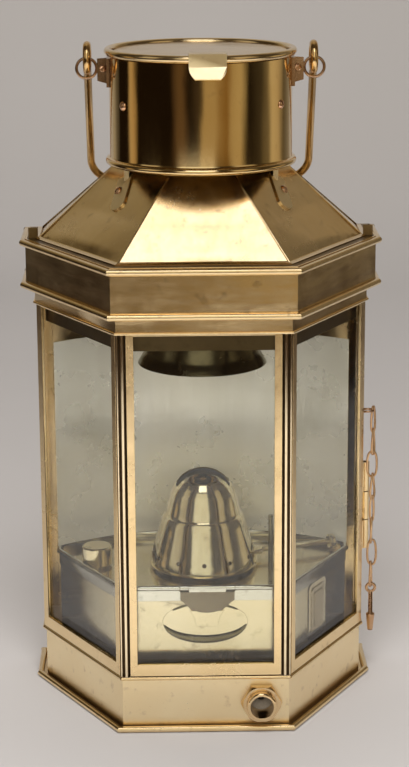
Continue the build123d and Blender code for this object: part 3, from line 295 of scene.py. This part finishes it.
# Finishes that differ from their slot's own in polish, age or the way that the sheet was worked; some are
# also lighter or darker copies of the brass that paint in light, shade and reflection.
VARIANTS = {
    # The oval rim's dark brass is a painted dark reflection.
    "dark_reflection_oval_brass": brass("dark_reflection_oval_brass", *OVAL_DARK_REFLECTION, rough=(0.14, 0.26), grime=0.3),
    "flap_brass": brass("flap_brass", *FLAP, rough=(0.16, 0.3)),
    "roof_brass": brass("roof_brass", *BRASS, rough=(0.12, 0.34), wave=0.10, wave_scale=30.0,
                        grain=(1.0, 1.0, 0.35)),
    "band_brass": brass("band_brass", *BRASS, rough=(0.12, 0.28), wave=0.22, wave_scale=26.0,
                        grain=(0.35, 0.35, 1.6)),
    "drum_brass": brass("drum_brass", *DRUM, rough=(0.05, 0.12), wave=0.014, wave_scale=12.0,
                        grain=(2.0, 2.0, 0.25), grime=0.25),
    # The beads' paler brass is a painted highlight.
    "bead_brass": brass("bead_brass", *BEAD_LIT, rough=(0.05, 0.14), wave=0.05, shadow=0.9),
    # The paler brass of the base, straps and thumb tab is painted light.
    "pale_lit_brass": brass("pale_lit_brass", *BASE_LIT, rough=(0.26, 0.42), wave=0.10, wave_scale=16.0, shadow=0.9),
    "wall_brass": brass("wall_brass", *BRASS, rough=(0.14, 0.34), wave=0.12, wave_scale=16.0),
    # The corner joints' near-black finish is a painted dark reflection.
    "seam_brass": brass("seam_brass", *SEAM_DARK_REFLECTION, rough=(0.28, 0.45)),
    # The gutter finish's dark brown is painted shade.
    "shaded_gutter_brass": brass("shaded_gutter_brass", *GUTTER_SHADE, rough=(0.3, 0.5)),
}


# ---- Mesh helpers (millimetres in, metres out) ------------------------------------------------
def finish_piece(name, me, mat, body, nodes=(), angle=32.0):
    """Ends a mesh off as a visual piece; the material is a slot's own or one of its variants."""
    bm = bmesh.new()
    bm.from_mesh(me)
    bmesh.ops.recalc_face_normals(bm, faces=bm.faces)
    bm.to_mesh(me)
    bm.free()
    me.materials.clear()
    me.materials.append(VARIANTS.get(mat) or MATS[mat])
    me.shade_smooth()
    me.set_sharp_from_angle(angle=math.radians(angle))
    o = bpy.data.objects.new(name, me)
    bpy.context.scene.collection.objects.link(o)
    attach(o, body)
    if nodes:
        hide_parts(*nodes)
    return o


def as_object(name, verts, faces, mat, body, nodes=()):
    """A visual piece from points in millimetres."""
    me = bpy.data.meshes.new(name)
    me.from_pydata([(x * MM, y * MM, z * MM) for x, y, z in verts], [], faces)
    me.update()
    return finish_piece(name, me, mat, body, nodes)


def bevelled(o, width):
    """Eases the hard edges, in millimetres."""
    m = o.modifiers.new("bevel", "BEVEL")
    m.width = width * MM
    m.segments = 2
    m.limit_method = "ANGLE"
    m.angle_limit = math.radians(35)
    m.harden_normals = True
    return o


def soften(node, width, mat=None, angle=35.0, dissolve=0.8):
    """A copy of a CAD node in its place, with eased edges where a width is given."""
    me = NODES[node].data.copy()
    bm = bmesh.new()
    bm.from_mesh(me)
    bmesh.ops.remove_doubles(bm, verts=bm.verts, dist=2e-6)
    if dissolve:
        bmesh.ops.dissolve_limit(bm, angle_limit=math.radians(dissolve), verts=bm.verts, edges=bm.edges)
    bm.to_mesh(me)
    bm.free()
    o = finish_piece(node + "_piece", me, mat or SLOT_OF[node], BODY_OF[node], [node], angle)
    return bevelled(o, width) if width else o


def grid_faces(rows, cols, close_rows=False, close_cols=False):
    """Quads between consecutive rings of points."""
    faces = []
    for i in range(rows if close_rows else rows - 1):
        for j in range(cols if close_cols else cols - 1):
            k, m = (i + 1) % rows, (j + 1) % cols
            faces.append((i * cols + j, i * cols + m, k * cols + m, k * cols + j))
    return faces


def turned(degrees, r=1.0):
    """The point of a circle at an angle."""
    a = math.radians(degrees)
    return Vector((r * math.cos(a), r * math.sin(a)))


def circle(centre, r, count):
    return [centre + turned(360 * i / count, r) for i in range(count)]


def arc(x, z, r, a0, a1, n):
    """Points of an arc in a profile, angles in degrees."""
    return [tuple(Vector((x, z)) + turned(a0 + (a1 - a0) * i / n, r)) for i in range(n + 1)]


def lathe(profile, segments):
    """A closed (r, z) profile turned about the upright axis."""
    verts = []
    for i in range(segments):
        out = turned(360 * i / segments)
        verts += [(r * out.x, r * out.y, z) for r, z in profile]
    return verts, grid_faces(segments, len(profile), True, True)


def prism(points, lift):
    """A closed outline of points drawn out by one vector."""
    n = len(points)
    verts = [tuple(p) for p in points] + [tuple(Vector(p) + Vector(lift)) for p in points]
    ends = [tuple(range(n)), tuple(range(2 * n - 1, n - 1, -1))]
    return verts, ends + [(i, i + n, (i + 1) % n + n, (i + 1) % n) for i in range(n)]


def tube(points, radius, segments, closed=False):
    """Round wire along points."""
    pts = [Vector(p) for p in points]
    n = len(pts)
    verts = []
    up = None
    for i, p in enumerate(pts):
        before = pts[(i - 1) % n] if closed or i else p
        after = pts[(i + 1) % n] if closed or i < n - 1 else p
        along = (after - before).normalized()
        if up is None:
            up = along.orthogonal().normalized()
        up = (up - along * up.dot(along)).normalized()
        side = along.cross(up)
        for k in range(segments):
            a = 2 * math.pi * k / segments
            verts.append(tuple(p + up * (radius * math.cos(a)) + side * (radius * math.sin(a))))
    faces = grid_faces(n, segments, closed, True)
    if not closed:
        faces += [tuple(range(segments))[::-1], tuple(range((n - 1) * segments, n * segments))]
    return verts, faces


def joined(*meshes):
    verts, faces = [], []
    for v, f in meshes:
        k = len(verts)
        verts += v
        faces += [tuple(i + k for i in face) for face in f]
    return verts, faces


def outline(w):
    """The six corners of the case's plan, by the half-width at the widest corners."""
    front = CORNER_Y - COS30 * w
    back = HALF_DEPTH + COS30 * (w - FACET)
    return [(-w / 2, front), (w / 2, front), (w, CORNER_Y), (w, back), (-w, back), (-w, CORNER_Y)]


def mitred_strip(side, profile, steps, wobble, gap, seed):
    """One side of a ring that follows the case, from a closed (half-width, height) profile."""
    verts = []
    for s in range(steps + 1):
        for w, z in profile:
            corners = outline(w)
            a = Vector((*corners[side], z))
            b = Vector((*corners[(side + 1) % 6], z))
            along = (b - a).normalized()
            p = (a + along * gap).lerp(b - along * gap, s / steps)
            sway = noise.noise(Vector((p.x * 0.03 + seed, p.y * 0.03, side * 3.1)))
            lift = noise.noise(Vector((p.x * 0.02, seed + 9, p.y * 0.02))) * 0.6
            verts.append(tuple(p + Vector((along.y * sway, -along.x * sway, lift)) * wobble))
    k = len(profile)
    ends = [tuple(range(k))[::-1], tuple(range(steps * k, (steps + 1) * k))]
    return verts, grid_faces(steps + 1, k, False, True) + ends


def strip_ring(name, profile, steps, wobble, gap=0.0):
    strips = [mitred_strip(i, profile, steps, wobble, gap, i * 1.7) for i in range(6)]
    verts, faces = joined(*strips)
    return as_object(name, verts, faces, "polished_brass", "case")


# ---- CAD nodes carried over ---------------------------------------------------------------------
FINISH = {
    # The base and the chimney straps take the paler brass: painted light.
    "cap_band": "band_brass", "top_fascia": "band_brass", "base_box": "pale_lit_brass",
    "chimney_straps": "pale_lit_brass", "roof_ledge": "shaded_gutter_brass", "window_frame_front": "wall_brass",
    # The roof ledge's dark finish is painted shade in its recess.
    "window_frames_side": "wall_brass", "side_walls": "wall_brass", "back_frame": "wall_brass",
    "door_panel": "wall_brass",
}
# How far the edges of each node are eased, in millimetres.
EASED = {
    "base_box": 0.3, "base_flange": 0.2, "window_frame_front": 0.45, "window_frames_side": 0.45,
    "back_frame": 0.4, "side_walls": 0.3, "roof_ledge": 0.2, "top_fascia": 0.2, "cap_band": 0.2,
    "door_panel": 0.4, "door_hinge_frame_leaves": 0.2, "door_hinge_door_leaves": 0.2,
    "latch_wall_knuckles": 0.2, "latch_door_knuckle": 0.2, "glass_front": 0.15, "glass_side": 0.15,
    "glass_retainer": 0.2, "base_floor": 0.3, "oil_tank": 0.6, "tank_rim": 0.1, "tank_side_panel": 0.3,
    "tank_flap_leaf": 0.15, "handle_brackets": 0.35, "gland_body": 0.3, "gland_nut": 0.3,
    "gland_locknut": 0.3, "lid_knuckle": 0.2, "lid_hinge_leaf": 0.2, "chimney_straps": 0.45,
    "filler_cap": 0.3, "winder_knob": 0.2, "roof_top": 0.2,
}
# Nodes that are carried over with their edges as they are.
PLAIN = (
    "reflector", "smoke_funnel", "roof_neck", "dome_rivets", "burner_gallery", "burner_dome", "lug_rivets",
    "handle_rings", "bail", "lid_rim", "lid_hinge_pin", "door_hinge_pins", "chain_staple", "locking_pin",
    "tank_flap_pin", "filler_neck", "wick_tube", "wick", "winder_shaft", "tank_upright", "gland_seal",
)
for node, width in EASED.items():
    soften(node, width, FINISH.get(node))
for node in PLAIN:
    soften(node, 0, angle=30.0, dissolve=0)
# The thumb tab takes the paler brass: painted light.
soften("lid_thumb_tab", 0, "pale_lit_brass", angle=7.0, dissolve=0)


def paint_inward_shade(node):
    """Gives the burner's faces that look towards its upright axis the dark gutter finish: painted shade
    inside the burner.
    """
    me = bpy.data.objects[node + "_piece"].data
    me.materials.append(VARIANTS["shaded_gutter_brass"])
    for poly in me.polygons:
        out = poly.center.xy
        if out.length > 1e-6 and poly.normal.xy.dot(out.normalized()) < -0.25:
            poly.material_index = 1


paint_inward_shade("burner_dome")
paint_inward_shade("burner_gallery")


# ---- Chimney and roof ---------------------------------------------------------------------------
def drum():
    """The drum in one turned skin, its lower edge rolled over a wire."""
    wall, inside, wire = 58.1, 57.1, 2.2
    foot, mouth = low("chimney_shell").z, high("chimney_shell").z
    roll = high("chimney_shell").x - wire
    rolled = arc(roll, foot + wire, wire, 75, -105, 16)
    outer = [(wall, mouth - 0.4), (wall, foot + 5.7), (58.3, foot + 4.7)] + rolled + [(57.9, foot)]
    inner = [(57.2, foot), (inside, foot + 0.7), (inside, mouth), (57.7, mouth)]
    verts, faces = lathe(outer + inner, 240)
    as_object("chimney_shell_piece", verts, faces, "drum_brass", "case", ["chimney_shell"])


def roof_corners():
    """The six lower and the six upper corners of the roof's slopes."""
    bottom, top = low("roof_facets").z, high("roof_facets").z
    wide, back, _ = high("roof_top")
    narrow, front = 20.9, low("roof_top").y
    foot = outline(high("roof_facets").x)
    head = [(-narrow, front), (narrow, front), (wide, CORNER_Y)]
    head += [(wide, back), (-wide, back), (-wide, CORNER_Y)]
    return [Vector((x, y, bottom)) for x, y in foot], [Vector((x, y, top)) for x, y in head]


ROOF_FOOT, ROOF_HEAD = roof_corners()


def hand_worked(side, q, u, v):
    """How far one of the roof's sheets stands out of its plane; u runs along it and v up it."""
    swell = 2.1 if side in (1, 5) else 0.8
    calm = max(0.0, 1 - v / 0.45)
    edge = math.sin(math.pi * u) * math.sin(math.pi * min(1, v * 1.02))
    bulge = swell * math.sin(math.pi * u) * calm ** 0.7 * min(1.0, v * 9 + 0.1)
    slow = noise.noise(q * 0.035 + Vector((side * 5.3, 0, 0)))
    quick = noise.noise(Vector((q.x * 0.16, q.y * 0.16, side * 3.7 + q.z * 0.02)))
    return bulge + (0.04 + 0.45 * calm) * slow * edge + 0.12 * calm * quick * edge


def roof_sheet(side, across=40, up=28, thickness=1.1):
    """One slope of the roof, a little bulged and uneven."""
    a, b = ROOF_FOOT[side], ROOF_FOOT[(side + 1) % 6]
    c, d = ROOF_HEAD[side], ROOF_HEAD[(side + 1) % 6]
    normal = (b - a).cross((c + d) / 2 - (a + b) / 2).normalized()
    row = across + 1
    verts = []
    for layer in (0.0, -thickness):
        for j in range(up + 1):
            for i in range(row):
                u, v = i / across, j / up
                q = a.lerp(b, u).lerp(c.lerp(d, u), v)
                verts.append(tuple(q + normal * (hand_worked(side, q, u, v) + layer)))
    k = row * (up + 1)
    top = grid_faces(up + 1, row)
    under = [tuple(i + k for i in face[::-1]) for face in top]
    ring = list(range(row)) + [j * row + across for j in range(1, up + 1)]
    ring += [up * row + i for i in range(across - 1, -1, -1)] + [j * row for j in range(up - 1, 0, -1)]
    ahead = ring[1:] + ring[:1]
    rim = [(i, i + k, j + k, j) for i, j in zip(ring, ahead)]
    return verts, top + under + rim


def roof():
    """Six hand-worked sheets, and the soldered seam along each hip."""
    verts, faces = joined(*[roof_sheet(side) for side in range(6)])
    as_object("roof_facets_piece", verts, faces, "roof_brass", "case", ["roof_facets"])
    seam_r, steps, sway = 0.55, 12, 0.12
    for side in range(6):
        a = ROOF_FOOT[side] + Vector((0, 0, 0.7))
        b = ROOF_HEAD[side] - Vector((0, 0, 0.4))
        seam = []
        for i in range(steps + 1):
            p = a.lerp(b, i / steps)
            p.x += sway * noise.noise(Vector((i * 0.7, side * 3, 0)))
            seam.append(p)
        verts, faces = tube(seam, seam_r, 10)
        as_object("roof_seam_%d" % side, verts, faces, "polished_brass", "case")


def roof_foot():
    """The roof's turned-out lower edge, lying in the gutter behind the band's roll."""
    z = low("roof_facets").z
    section = [(109.2, 0.1), (109.3, 0.7), (106.6, 1.3), (105.9, 1.9), (105.4, 1.0), (106.4, 0.1)]
    profile = [(w, z + rise) for w, rise in section]
    strip_ring("roof_foot", profile, steps=14, wobble=0.35)


drum()
roof()


# ---- Case ---------------------------------------------------------------------------------------
def posts():
    """Front corners: a round bead between near-black joints that paint in the dark reflection beside it, and
    the folded edge at the very corner.
    """
    foot, head = low("corner_posts").z, high("corner_posts").z
    bead_top = 264.5
    joint_r, bead_r, edge_r = 2.05, 1.25, 0.55
    corner = Vector(outline(109.4)[1])
    front = Vector((-1, 0))
    inward = Vector((0, 1))
    side = Vector((0.5, COS30))
    side_in = Vector((-COS30, 0.5))
    centre = corner + front * 3.4 + inward * 1.35
    web = [
        corner + front * 0.35 + inward * 0.9,
        corner + front * 5.7 + inward * 1.5,
        corner + front * 5.7 + inward * 2.0,
        corner - front * 0.9 + inward * 2.0,
        corner + side * 2.0 + side_in * 1.9,
        corner + side * 2.0 + side_in * 0.7,
    ]

    def pair(plan, bottom, top):
        """The same plan drawn up at both front corners."""
        return [prism([(sign * p.x, p.y, bottom) for p in plan], (0, 0, top - bottom)) for sign in (-1, 1)]

    joint = pair(circle(centre, joint_r, 28), foot + 0.1, bead_top - 0.2) + pair(web, foot, head)
    bead = pair(circle(centre - inward * 0.9, bead_r, 28), foot + 0.1, bead_top)
    edge = pair(circle(corner + front * 0.35 + inward * 0.62, edge_r, 16), foot + 0.1, head)
    as_object("post_joint", *joined(*joint), "seam_brass", "case", ["corner_posts"])
    # The bead and the corner edge take the paler brass: painted highlight.
    as_object("post_bead", *joined(*bead), "bead_brass", "case")
    as_object("post_edge", *joined(*edge), "bead_brass", "case")


def base_lip():
    """The rounded top edge of the base, standing just proud of the window frames."""
    w, z, r = 109.05, high("base_box").z - 1.3, 1.25
    profile = [(w + (x - w) / COS30, height) for x, height in arc(w, z, r, 0, 345, 14)]
    strip_ring("base_lip", profile, steps=8, wobble=0.12, gap=0.4)


def lid_disc():
    """The lid's plate: a shallow pan with a rounded well inside the rolled rim."""
    z = low("lid_disc").z
    hub, edge = 0.05, 57.4
    pan = [(hub, 2.6), (30.0, 2.5), (46.0, 2.4), (52.5, 2.4)]
    well = [(54.6, 1.9), (55.6, 1.1), (56.2, 0.4), (edge, 0.2)]
    profile = [(r, z + rise) for r, rise in pan + well] + [(edge, z), (hub, z)]
    verts, faces = lathe(profile, 128)
    as_object("lid_disc_piece", verts, faces, "polished_brass", "lid", ["lid_disc"])


posts()
base_lip()
roof_foot()
lid_disc()


# ---- Tank ---------------------------------------------------------------------------------------
def flap():
    """The flap's brownish plate and barrel, and the bright narrow strap below it."""
    hinge = (low("tank_flap_pin") + high("tank_flap_pin")) / 2
    barrel_r = 1.55
    y = hinge.y - barrel_r
    left, right, top, shoulder = -16.0, 19.0, 91.0, 85.3
    toe, heel, toe_z, strap_z = -6.0, 8.3, 78.0, 67.0
    steps = [i / 8 for i in range(9)]

    # The plate narrows in a curve from its shoulders to its toe.
    fall = shoulder - toe_z
    edge = [(left, top), (left, shoulder)]
    edge += [(left + (toe - left) * t, shoulder - fall * math.sin(math.pi / 2 * t) ** 1.4) for t in steps[1:]]
    foot = [(toe + (heel - toe) * t, toe_z - 0.4 - 0.9 * math.sin(math.pi * t)) for t in steps[1:-1]]
    far = [(left + right - x, z) for x, z in reversed(edge)]
    far = [(heel + (x - 9.0) * 1.07 if x > 8.9 else heel, z) for x, z in far]
    plate = [(x, y, z) for x, z in edge + foot + far]
    verts, faces = prism(plate, (0, 0.9, 0))
    bevelled(as_object("tank_flap_plate", verts, faces, "flap_brass", "tank_flap", ["tank_flap"]), 0.25)

    barrel = tube([(x, hinge.y, hinge.z) for x in (-10.55, 1.5, 13.55)], barrel_r, 20)
    corners = [(-10.4, 90.6), (13.4, 90.6), (13.4, hinge.z), (-10.4, hinge.z)]
    neck = prism([(x, y + 0.1, z) for x, z in corners], (0, 0.7, 0))
    verts, faces = joined(barrel, neck)
    as_object("tank_flap_barrel", verts, faces, "hinge_silver", "tank_flap")

    def flare(start, reach):
        """One edge of the strap, spreading as it goes down."""
        return [(start + reach * (1 - t) ** 2.4, strap_z + (toe_z - strap_z) * (1 - t)) for t in steps]

    around = flare(toe, -4.0) + flare(heel, 4.0)[::-1]
    verts, faces = prism([(x, y + 0.3, z) for x, z in around], (0, 0.55, 0))
    bevelled(as_object("tank_flap_strap", verts, faces, "lamp_brass", "tank_flap"), 0.2)


def dish():
    """The raised rim of the oval pressed in the tank's front: broad below, fine above."""
    wide, tall, centre_z = 27.0, 12.4, 70.0
    front = low("oil_tank").y - 0.05
    cross = 9

    def rim(a0, a1, broad, steps):
        """A lens-shaped ridge along part of the oval."""
        verts = []
        for i in range(steps + 1):
            on = turned(a0 + (a1 - a0) * i / steps)
            out = Vector((on.x / wide, on.y / tall)).normalized()
            w = broad * math.sin(math.pi * i / steps) ** 0.6
            for j in range(cross):
                t = -1 + 2 * j / (cross - 1)
                rise = 0.75 * w * math.sqrt(max(0.0, 1 - t * t))
                x = wide * on.x + out.x * w * t
                z = centre_z + tall * on.y + out.y * w * t
                verts.append((x, front - rise, z))
        return verts, grid_faces(steps + 1, cross)

    verts, faces = joined(rim(190, 350, 2.6, 40), rim(38, 72, 0.7, 16), rim(108, 142, 0.7, 16))
    # The rim's dark brass is a painted dark reflection.
    as_object("tank_oval_rim", verts, faces, "dark_reflection_oval_brass", "case")


flap()
dish()


# ---- Chain --------------------------------------------------------------------------------------
def squared(value, power):
    """A sine or cosine made fuller, so that a round ring becomes a long link."""
    return math.copysign(abs(value) ** power, value)


def chain():
    """Eight hand-bent links, each a little different, some of them twisted."""
    links, length, wire, around = 8, 19.4, 0.8, 48
    middle_x, middle_y = 116.3, 34.0
    first_z, pitch = 180.8, 15.85
    half_widths = [3.6 * k for k in (0.62, 0.95, 1.15, 0.9, 0.6, 0.95, 1.05, 0.7)]
    twists = (0.5, 1.2, 0.1, 1.0, 0.4, 1.5, 0.05, 1.2)
    meshes = []
    for i in range(links):
        centre_z = first_z - i * pitch
        unruly = 1 if i % 3 else 2.2
        points = []
        for k in range(around):
            a = 2 * math.pi * k / around
            z = squared(math.sin(a), 0.75) * (length / 2 - wire)
            u = squared(math.cos(a), 0.8) * (half_widths[i] - wire)
            turn = twists[i] + 0.35 * z / length * unruly
            sway = 0.35 * math.sin(i * 2.3)
            points.append((middle_x + u * math.cos(turn) + sway, middle_y + u * math.sin(turn), centre_z + z))
        meshes.append(tube(points, wire, 12, True))
    verts, faces = joined(*meshes)
    as_object("chain_piece", verts, faces, "chain_brass", "chain", ["chain_links"])


chain()


# ---- Stage --------------------------------------------------------------------------------------
def bearing(t, x, y, sway):
    """The direction from the lantern, 0 to 1 for -180 to 180 degrees, with 0 degrees to the front."""
    around = t.math("ADD", t.math("ARCTAN2", x, t.math("MULTIPLY", y, -1.0)), sway)
    return t.math("ADD", t.math("DIVIDE", around, 2 * math.pi), 0.5)


def at(stops):
    """Colour stops at bearings in degrees."""
    return [(degrees / 360.0 + 0.5, colour) for degrees, colour in stops]


def stage_material():
    """Pale paper, with a painted pool of lamp light in front of the lantern and painted dark away from it."""
    mat, t, shader = principled("paper_sweep", Roughness=0.8)
    shader.inputs["Specular IOR Level"].default_value = 0.05
    co = t.add("TexCoord").outputs["Object"]
    pale = t.mix(t.noise(co, 3.0, 5.0, 0.6), (0.575, 0.556, 0.555), (0.545, 0.527, 0.523))
    x, y, _ = t.add("SeparateXYZ", Vector=co).outputs
    sway = t.math("MULTIPLY", t.math("SUBTRACT", t.noise(co, 5.0, 3.0, 0.6), 0.5), 0.10)
    square = t.math("ADD", t.math("MULTIPLY", x, x), t.math("MULTIPLY", y, y))
    far = t.math("ADD", t.math("SQRT", square), sway)
    around = bearing(t, x, y, t.math("MULTIPLY", sway, 2 * math.pi))
    # Painted light on the paper: bright near the lantern and fading with distance, dimmer at the sides than
    # in front.
    front = t.ramp(far, [(0.0, grey(1)), (0.35, grey(0.84)), (0.78, grey(0.72)), (1.0, grey(0.0))])
    side = t.ramp(far, [(0.10, grey(0.58)), (0.25, grey(0.40)), (0.50, grey(0.12)), (0.9, grey(0.02))])
    sector = t.ramp(around, at([(-102, grey(0)), (-88, grey(1)), (84, grey(1)), (98, grey(0))]))
    painted_lamp_light = t.mix(t.mix(sector, side, front), (0.05, 0.03, 0.018), (0.97, 0.94, 0.91))
    # The even paper lies under the lantern and behind it.
    spread = t.math("MULTIPLY", t.math("ABSOLUTE", x), 1.2)
    fan = t.math("ADD", t.math("SUBTRACT", y, spread), 0.44)
    near = t.math("MINIMUM", t.math("ADD", y, 0.19), fan)
    behind = t.ramp(near, [(0.0, grey(0)), (0.05, grey(1))])
    t.link(t.mix(behind, painted_lamp_light, pale), shader.inputs["Base Color"])
    return mat


def sweep():
    """Flat under the lantern, curving up into a backdrop, in metres."""
    near, bend, radius, top, half = -1.2, 1.3, 0.6, 2.4, 1.25
    line = [(near, 0.0), (near / 2, 0.0), (0.0, 0.0), (bend / 2, 0.0)]
    for i in range(17):
        p = turned(-90 + 90 * i / 16, radius)
        line.append((bend + p.x, radius + p.y))
    line.append((bend + radius, top))
    verts = []
    for y, z in line:
        verts += [(-half, y, z), (half, y, z)]
    me = bpy.data.meshes.new("paper")
    me.from_pydata(verts, [], grid_faces(len(line), 2))
    me.materials.append(stage_material())
    me.shade_smooth()
    o = bpy.data.objects.new("paper", me)
    bpy.context.scene.collection.objects.link(o)


def area(name, place, target, size, power, colour, mirrored=False):
    """A soft lamp; only a mirrored one shows in the polished metal."""
    d = bpy.data.lights.new(name, "AREA")
    d.shape = "RECTANGLE"
    d.size, d.size_y = size
    d.energy = power
    d.color = colour
    o = bpy.data.objects.new(name, d)
    o.location = place
    o.rotation_mode = "QUATERNION"
    o.rotation_quaternion = (Vector(target) - Vector(place)).to_track_quat("-Z", "Y")
    o.visible_glossy = mirrored
    bpy.context.scene.collection.objects.link(o)


def room():
    """What the polished metal mirrors beyond the paper: a dark room with a few pale things in it."""
    w = bpy.data.worlds.new("room")
    bpy.context.scene.world = w
    t = Tree(w)
    out = t.add("OutputWorld")
    background = t.add("Background", Strength=1.0)
    t.link(background.outputs[0], out.inputs[0])
    d = t.add("TexCoord").outputs["Generated"]
    x, y, z = t.add("SeparateXYZ", Vector=d).outputs
    uneven = t.noise(t.stretched(d, (2.0, 2.0, 6.0)), 1.6, 3.0, 0.6)
    around = bearing(t, x, y, t.math("MULTIPLY", t.math("SUBTRACT", uneven, 0.5), 0.35))

    warm, dark, pale = (0.36, 0.27, 0.14), (0.010, 0.006, 0.003), (0.50, 0.46, 0.40)
    dim, soft, wall = (0.045, 0.032, 0.018), (0.36, 0.31, 0.23), (0.45, 0.42, 0.38)
    lift, panel = (0.10, 0.06, 0.03), (0.85, 0.80, 0.68)
    below = t.ramp(around, at([
        (-180, pale), (-140, (0.3, 0.27, 0.22)), (-124, dark), (-104, dark), (-99, (0.45, 0.33, 0.18)),
        (-93, (0.40, 0.28, 0.14)), (-88, dark), (-40, dark), (-29, lift), (-22, lift), (-15, dark),
        (-2, (0.05, 0.035, 0.02)), (2, warm), (15, warm), (24, (0.26, 0.17, 0.07)), (32, (0.20, 0.11, 0.03)),
        (38, warm), (50, (0.42, 0.33, 0.18)), (60, dark), (80, (0.05, 0.04, 0.025)), (92, (0.16, 0.13, 0.08)),
        (100, (0.48, 0.40, 0.26)), (112, (0.40, 0.32, 0.20)), (122, (0.10, 0.08, 0.05)),
        (136, (0.15, 0.13, 0.10)), (180, pale),
    ]))
    above = t.ramp(around, at([
        (-180, wall), (-150, soft), (-136, (0.30, 0.25, 0.16)), (-128, (0.16, 0.12, 0.06)), (-122, dim),
        (-60, dim), (-50, (0.12, 0.09, 0.06)), (-20, dim), (30, dim), (60, (0.10, 0.07, 0.04)), (112, dim),
        (118, (0.30, 0.26, 0.2)), (122, (0.06, 0.04, 0.02)), (128, (0.20, 0.17, 0.12)), (131, dim),
        (136, (0.30, 0.24, 0.16)), (146, (0.26, 0.20, 0.12)), (160, soft), (180, wall),
    ]))
    facing = t.ramp(around, at([
        (-180, soft), (-120, dim), (-84, dim), (-78, (0.5, 0.45, 0.36)), (-60, (0.42, 0.36, 0.27)),
        (-52, dim), (-34, dim), (-26, panel), (14, panel), (20, dim), (36, dim), (44, (0.5, 0.43, 0.32)),
        (66, (0.4, 0.33, 0.22)), (74, dim), (120, dim), (180, soft),
    ]))
    rise = t.ramp(t.math("ADD", z, 0.5), [(0.52, grey(0)), (0.58, grey(1))])
    over = t.ramp(z, [(0.64, grey(0)), (0.72, grey(1))])
    front = t.ramp(t.math("ADD", y, 0.5), [(0.40, grey(1)), (0.60, grey(0))])
    ring = t.math("MULTIPLY", t.math("SUBTRACT", 1.0, over), front)
    t.link(t.mix(rise, below, t.mix(ring, above, facing)), background.inputs["Color"])


def camera():
    """Stands in front of the lantern and a little above its top, place in millimetres."""
    roll = -0.0056
    cam = bpy.data.cameras.new("camera")
    o = bpy.data.objects.new("camera", cam)
    bpy.context.scene.collection.objects.link(o)
    forward = Vector((0.01868, 0.96753, -0.25205)).normalized()
    level = forward.cross(Vector((0, 0, 1))).normalized()
    upward = level.cross(forward)
    right = level * math.cos(roll) + upward * math.sin(roll)
    up = upward * math.cos(roll) - level * math.sin(roll)
    m = Matrix((right, up, -forward)).transposed().to_4x4()
    m.translation = Vector((-24.29, -1331.3, 562.6)) * MM
    o.matrix_world = m
    cam.sensor_fit = "AUTO"
    cam.sensor_width = 36.0
    cam.lens = 98.288918
    cam.clip_start = 0.05
    cam.clip_end = 20.0
    bpy.context.scene.camera = o


sweep()
area("key", (0.0, -0.80, 1.6), (0.0, -0.20, 0.0), (0.9, 0.6), 16.5, (1.0, 0.985, 0.965))
area("softbox", (-0.02, -0.86, 1.45), (0.0, 0.0, 0.33), (0.72, 0.50), 2.5, (1.0, 0.97, 0.98), mirrored=True)
area("front_fill", (0.0, -1.05, 0.5), (0.0, 0.05, 0.18), (0.8, 0.3), 6.0, (1.0, 0.98, 0.95))
area("back_wash", (0.0, 0.7, 2.2), (0, 1.3, 0.2), (1.6, 0.5), 15.5, (1.0, 0.985, 0.975))
room()
camera()

bpy.context.scene.view_settings.view_transform = "Standard"
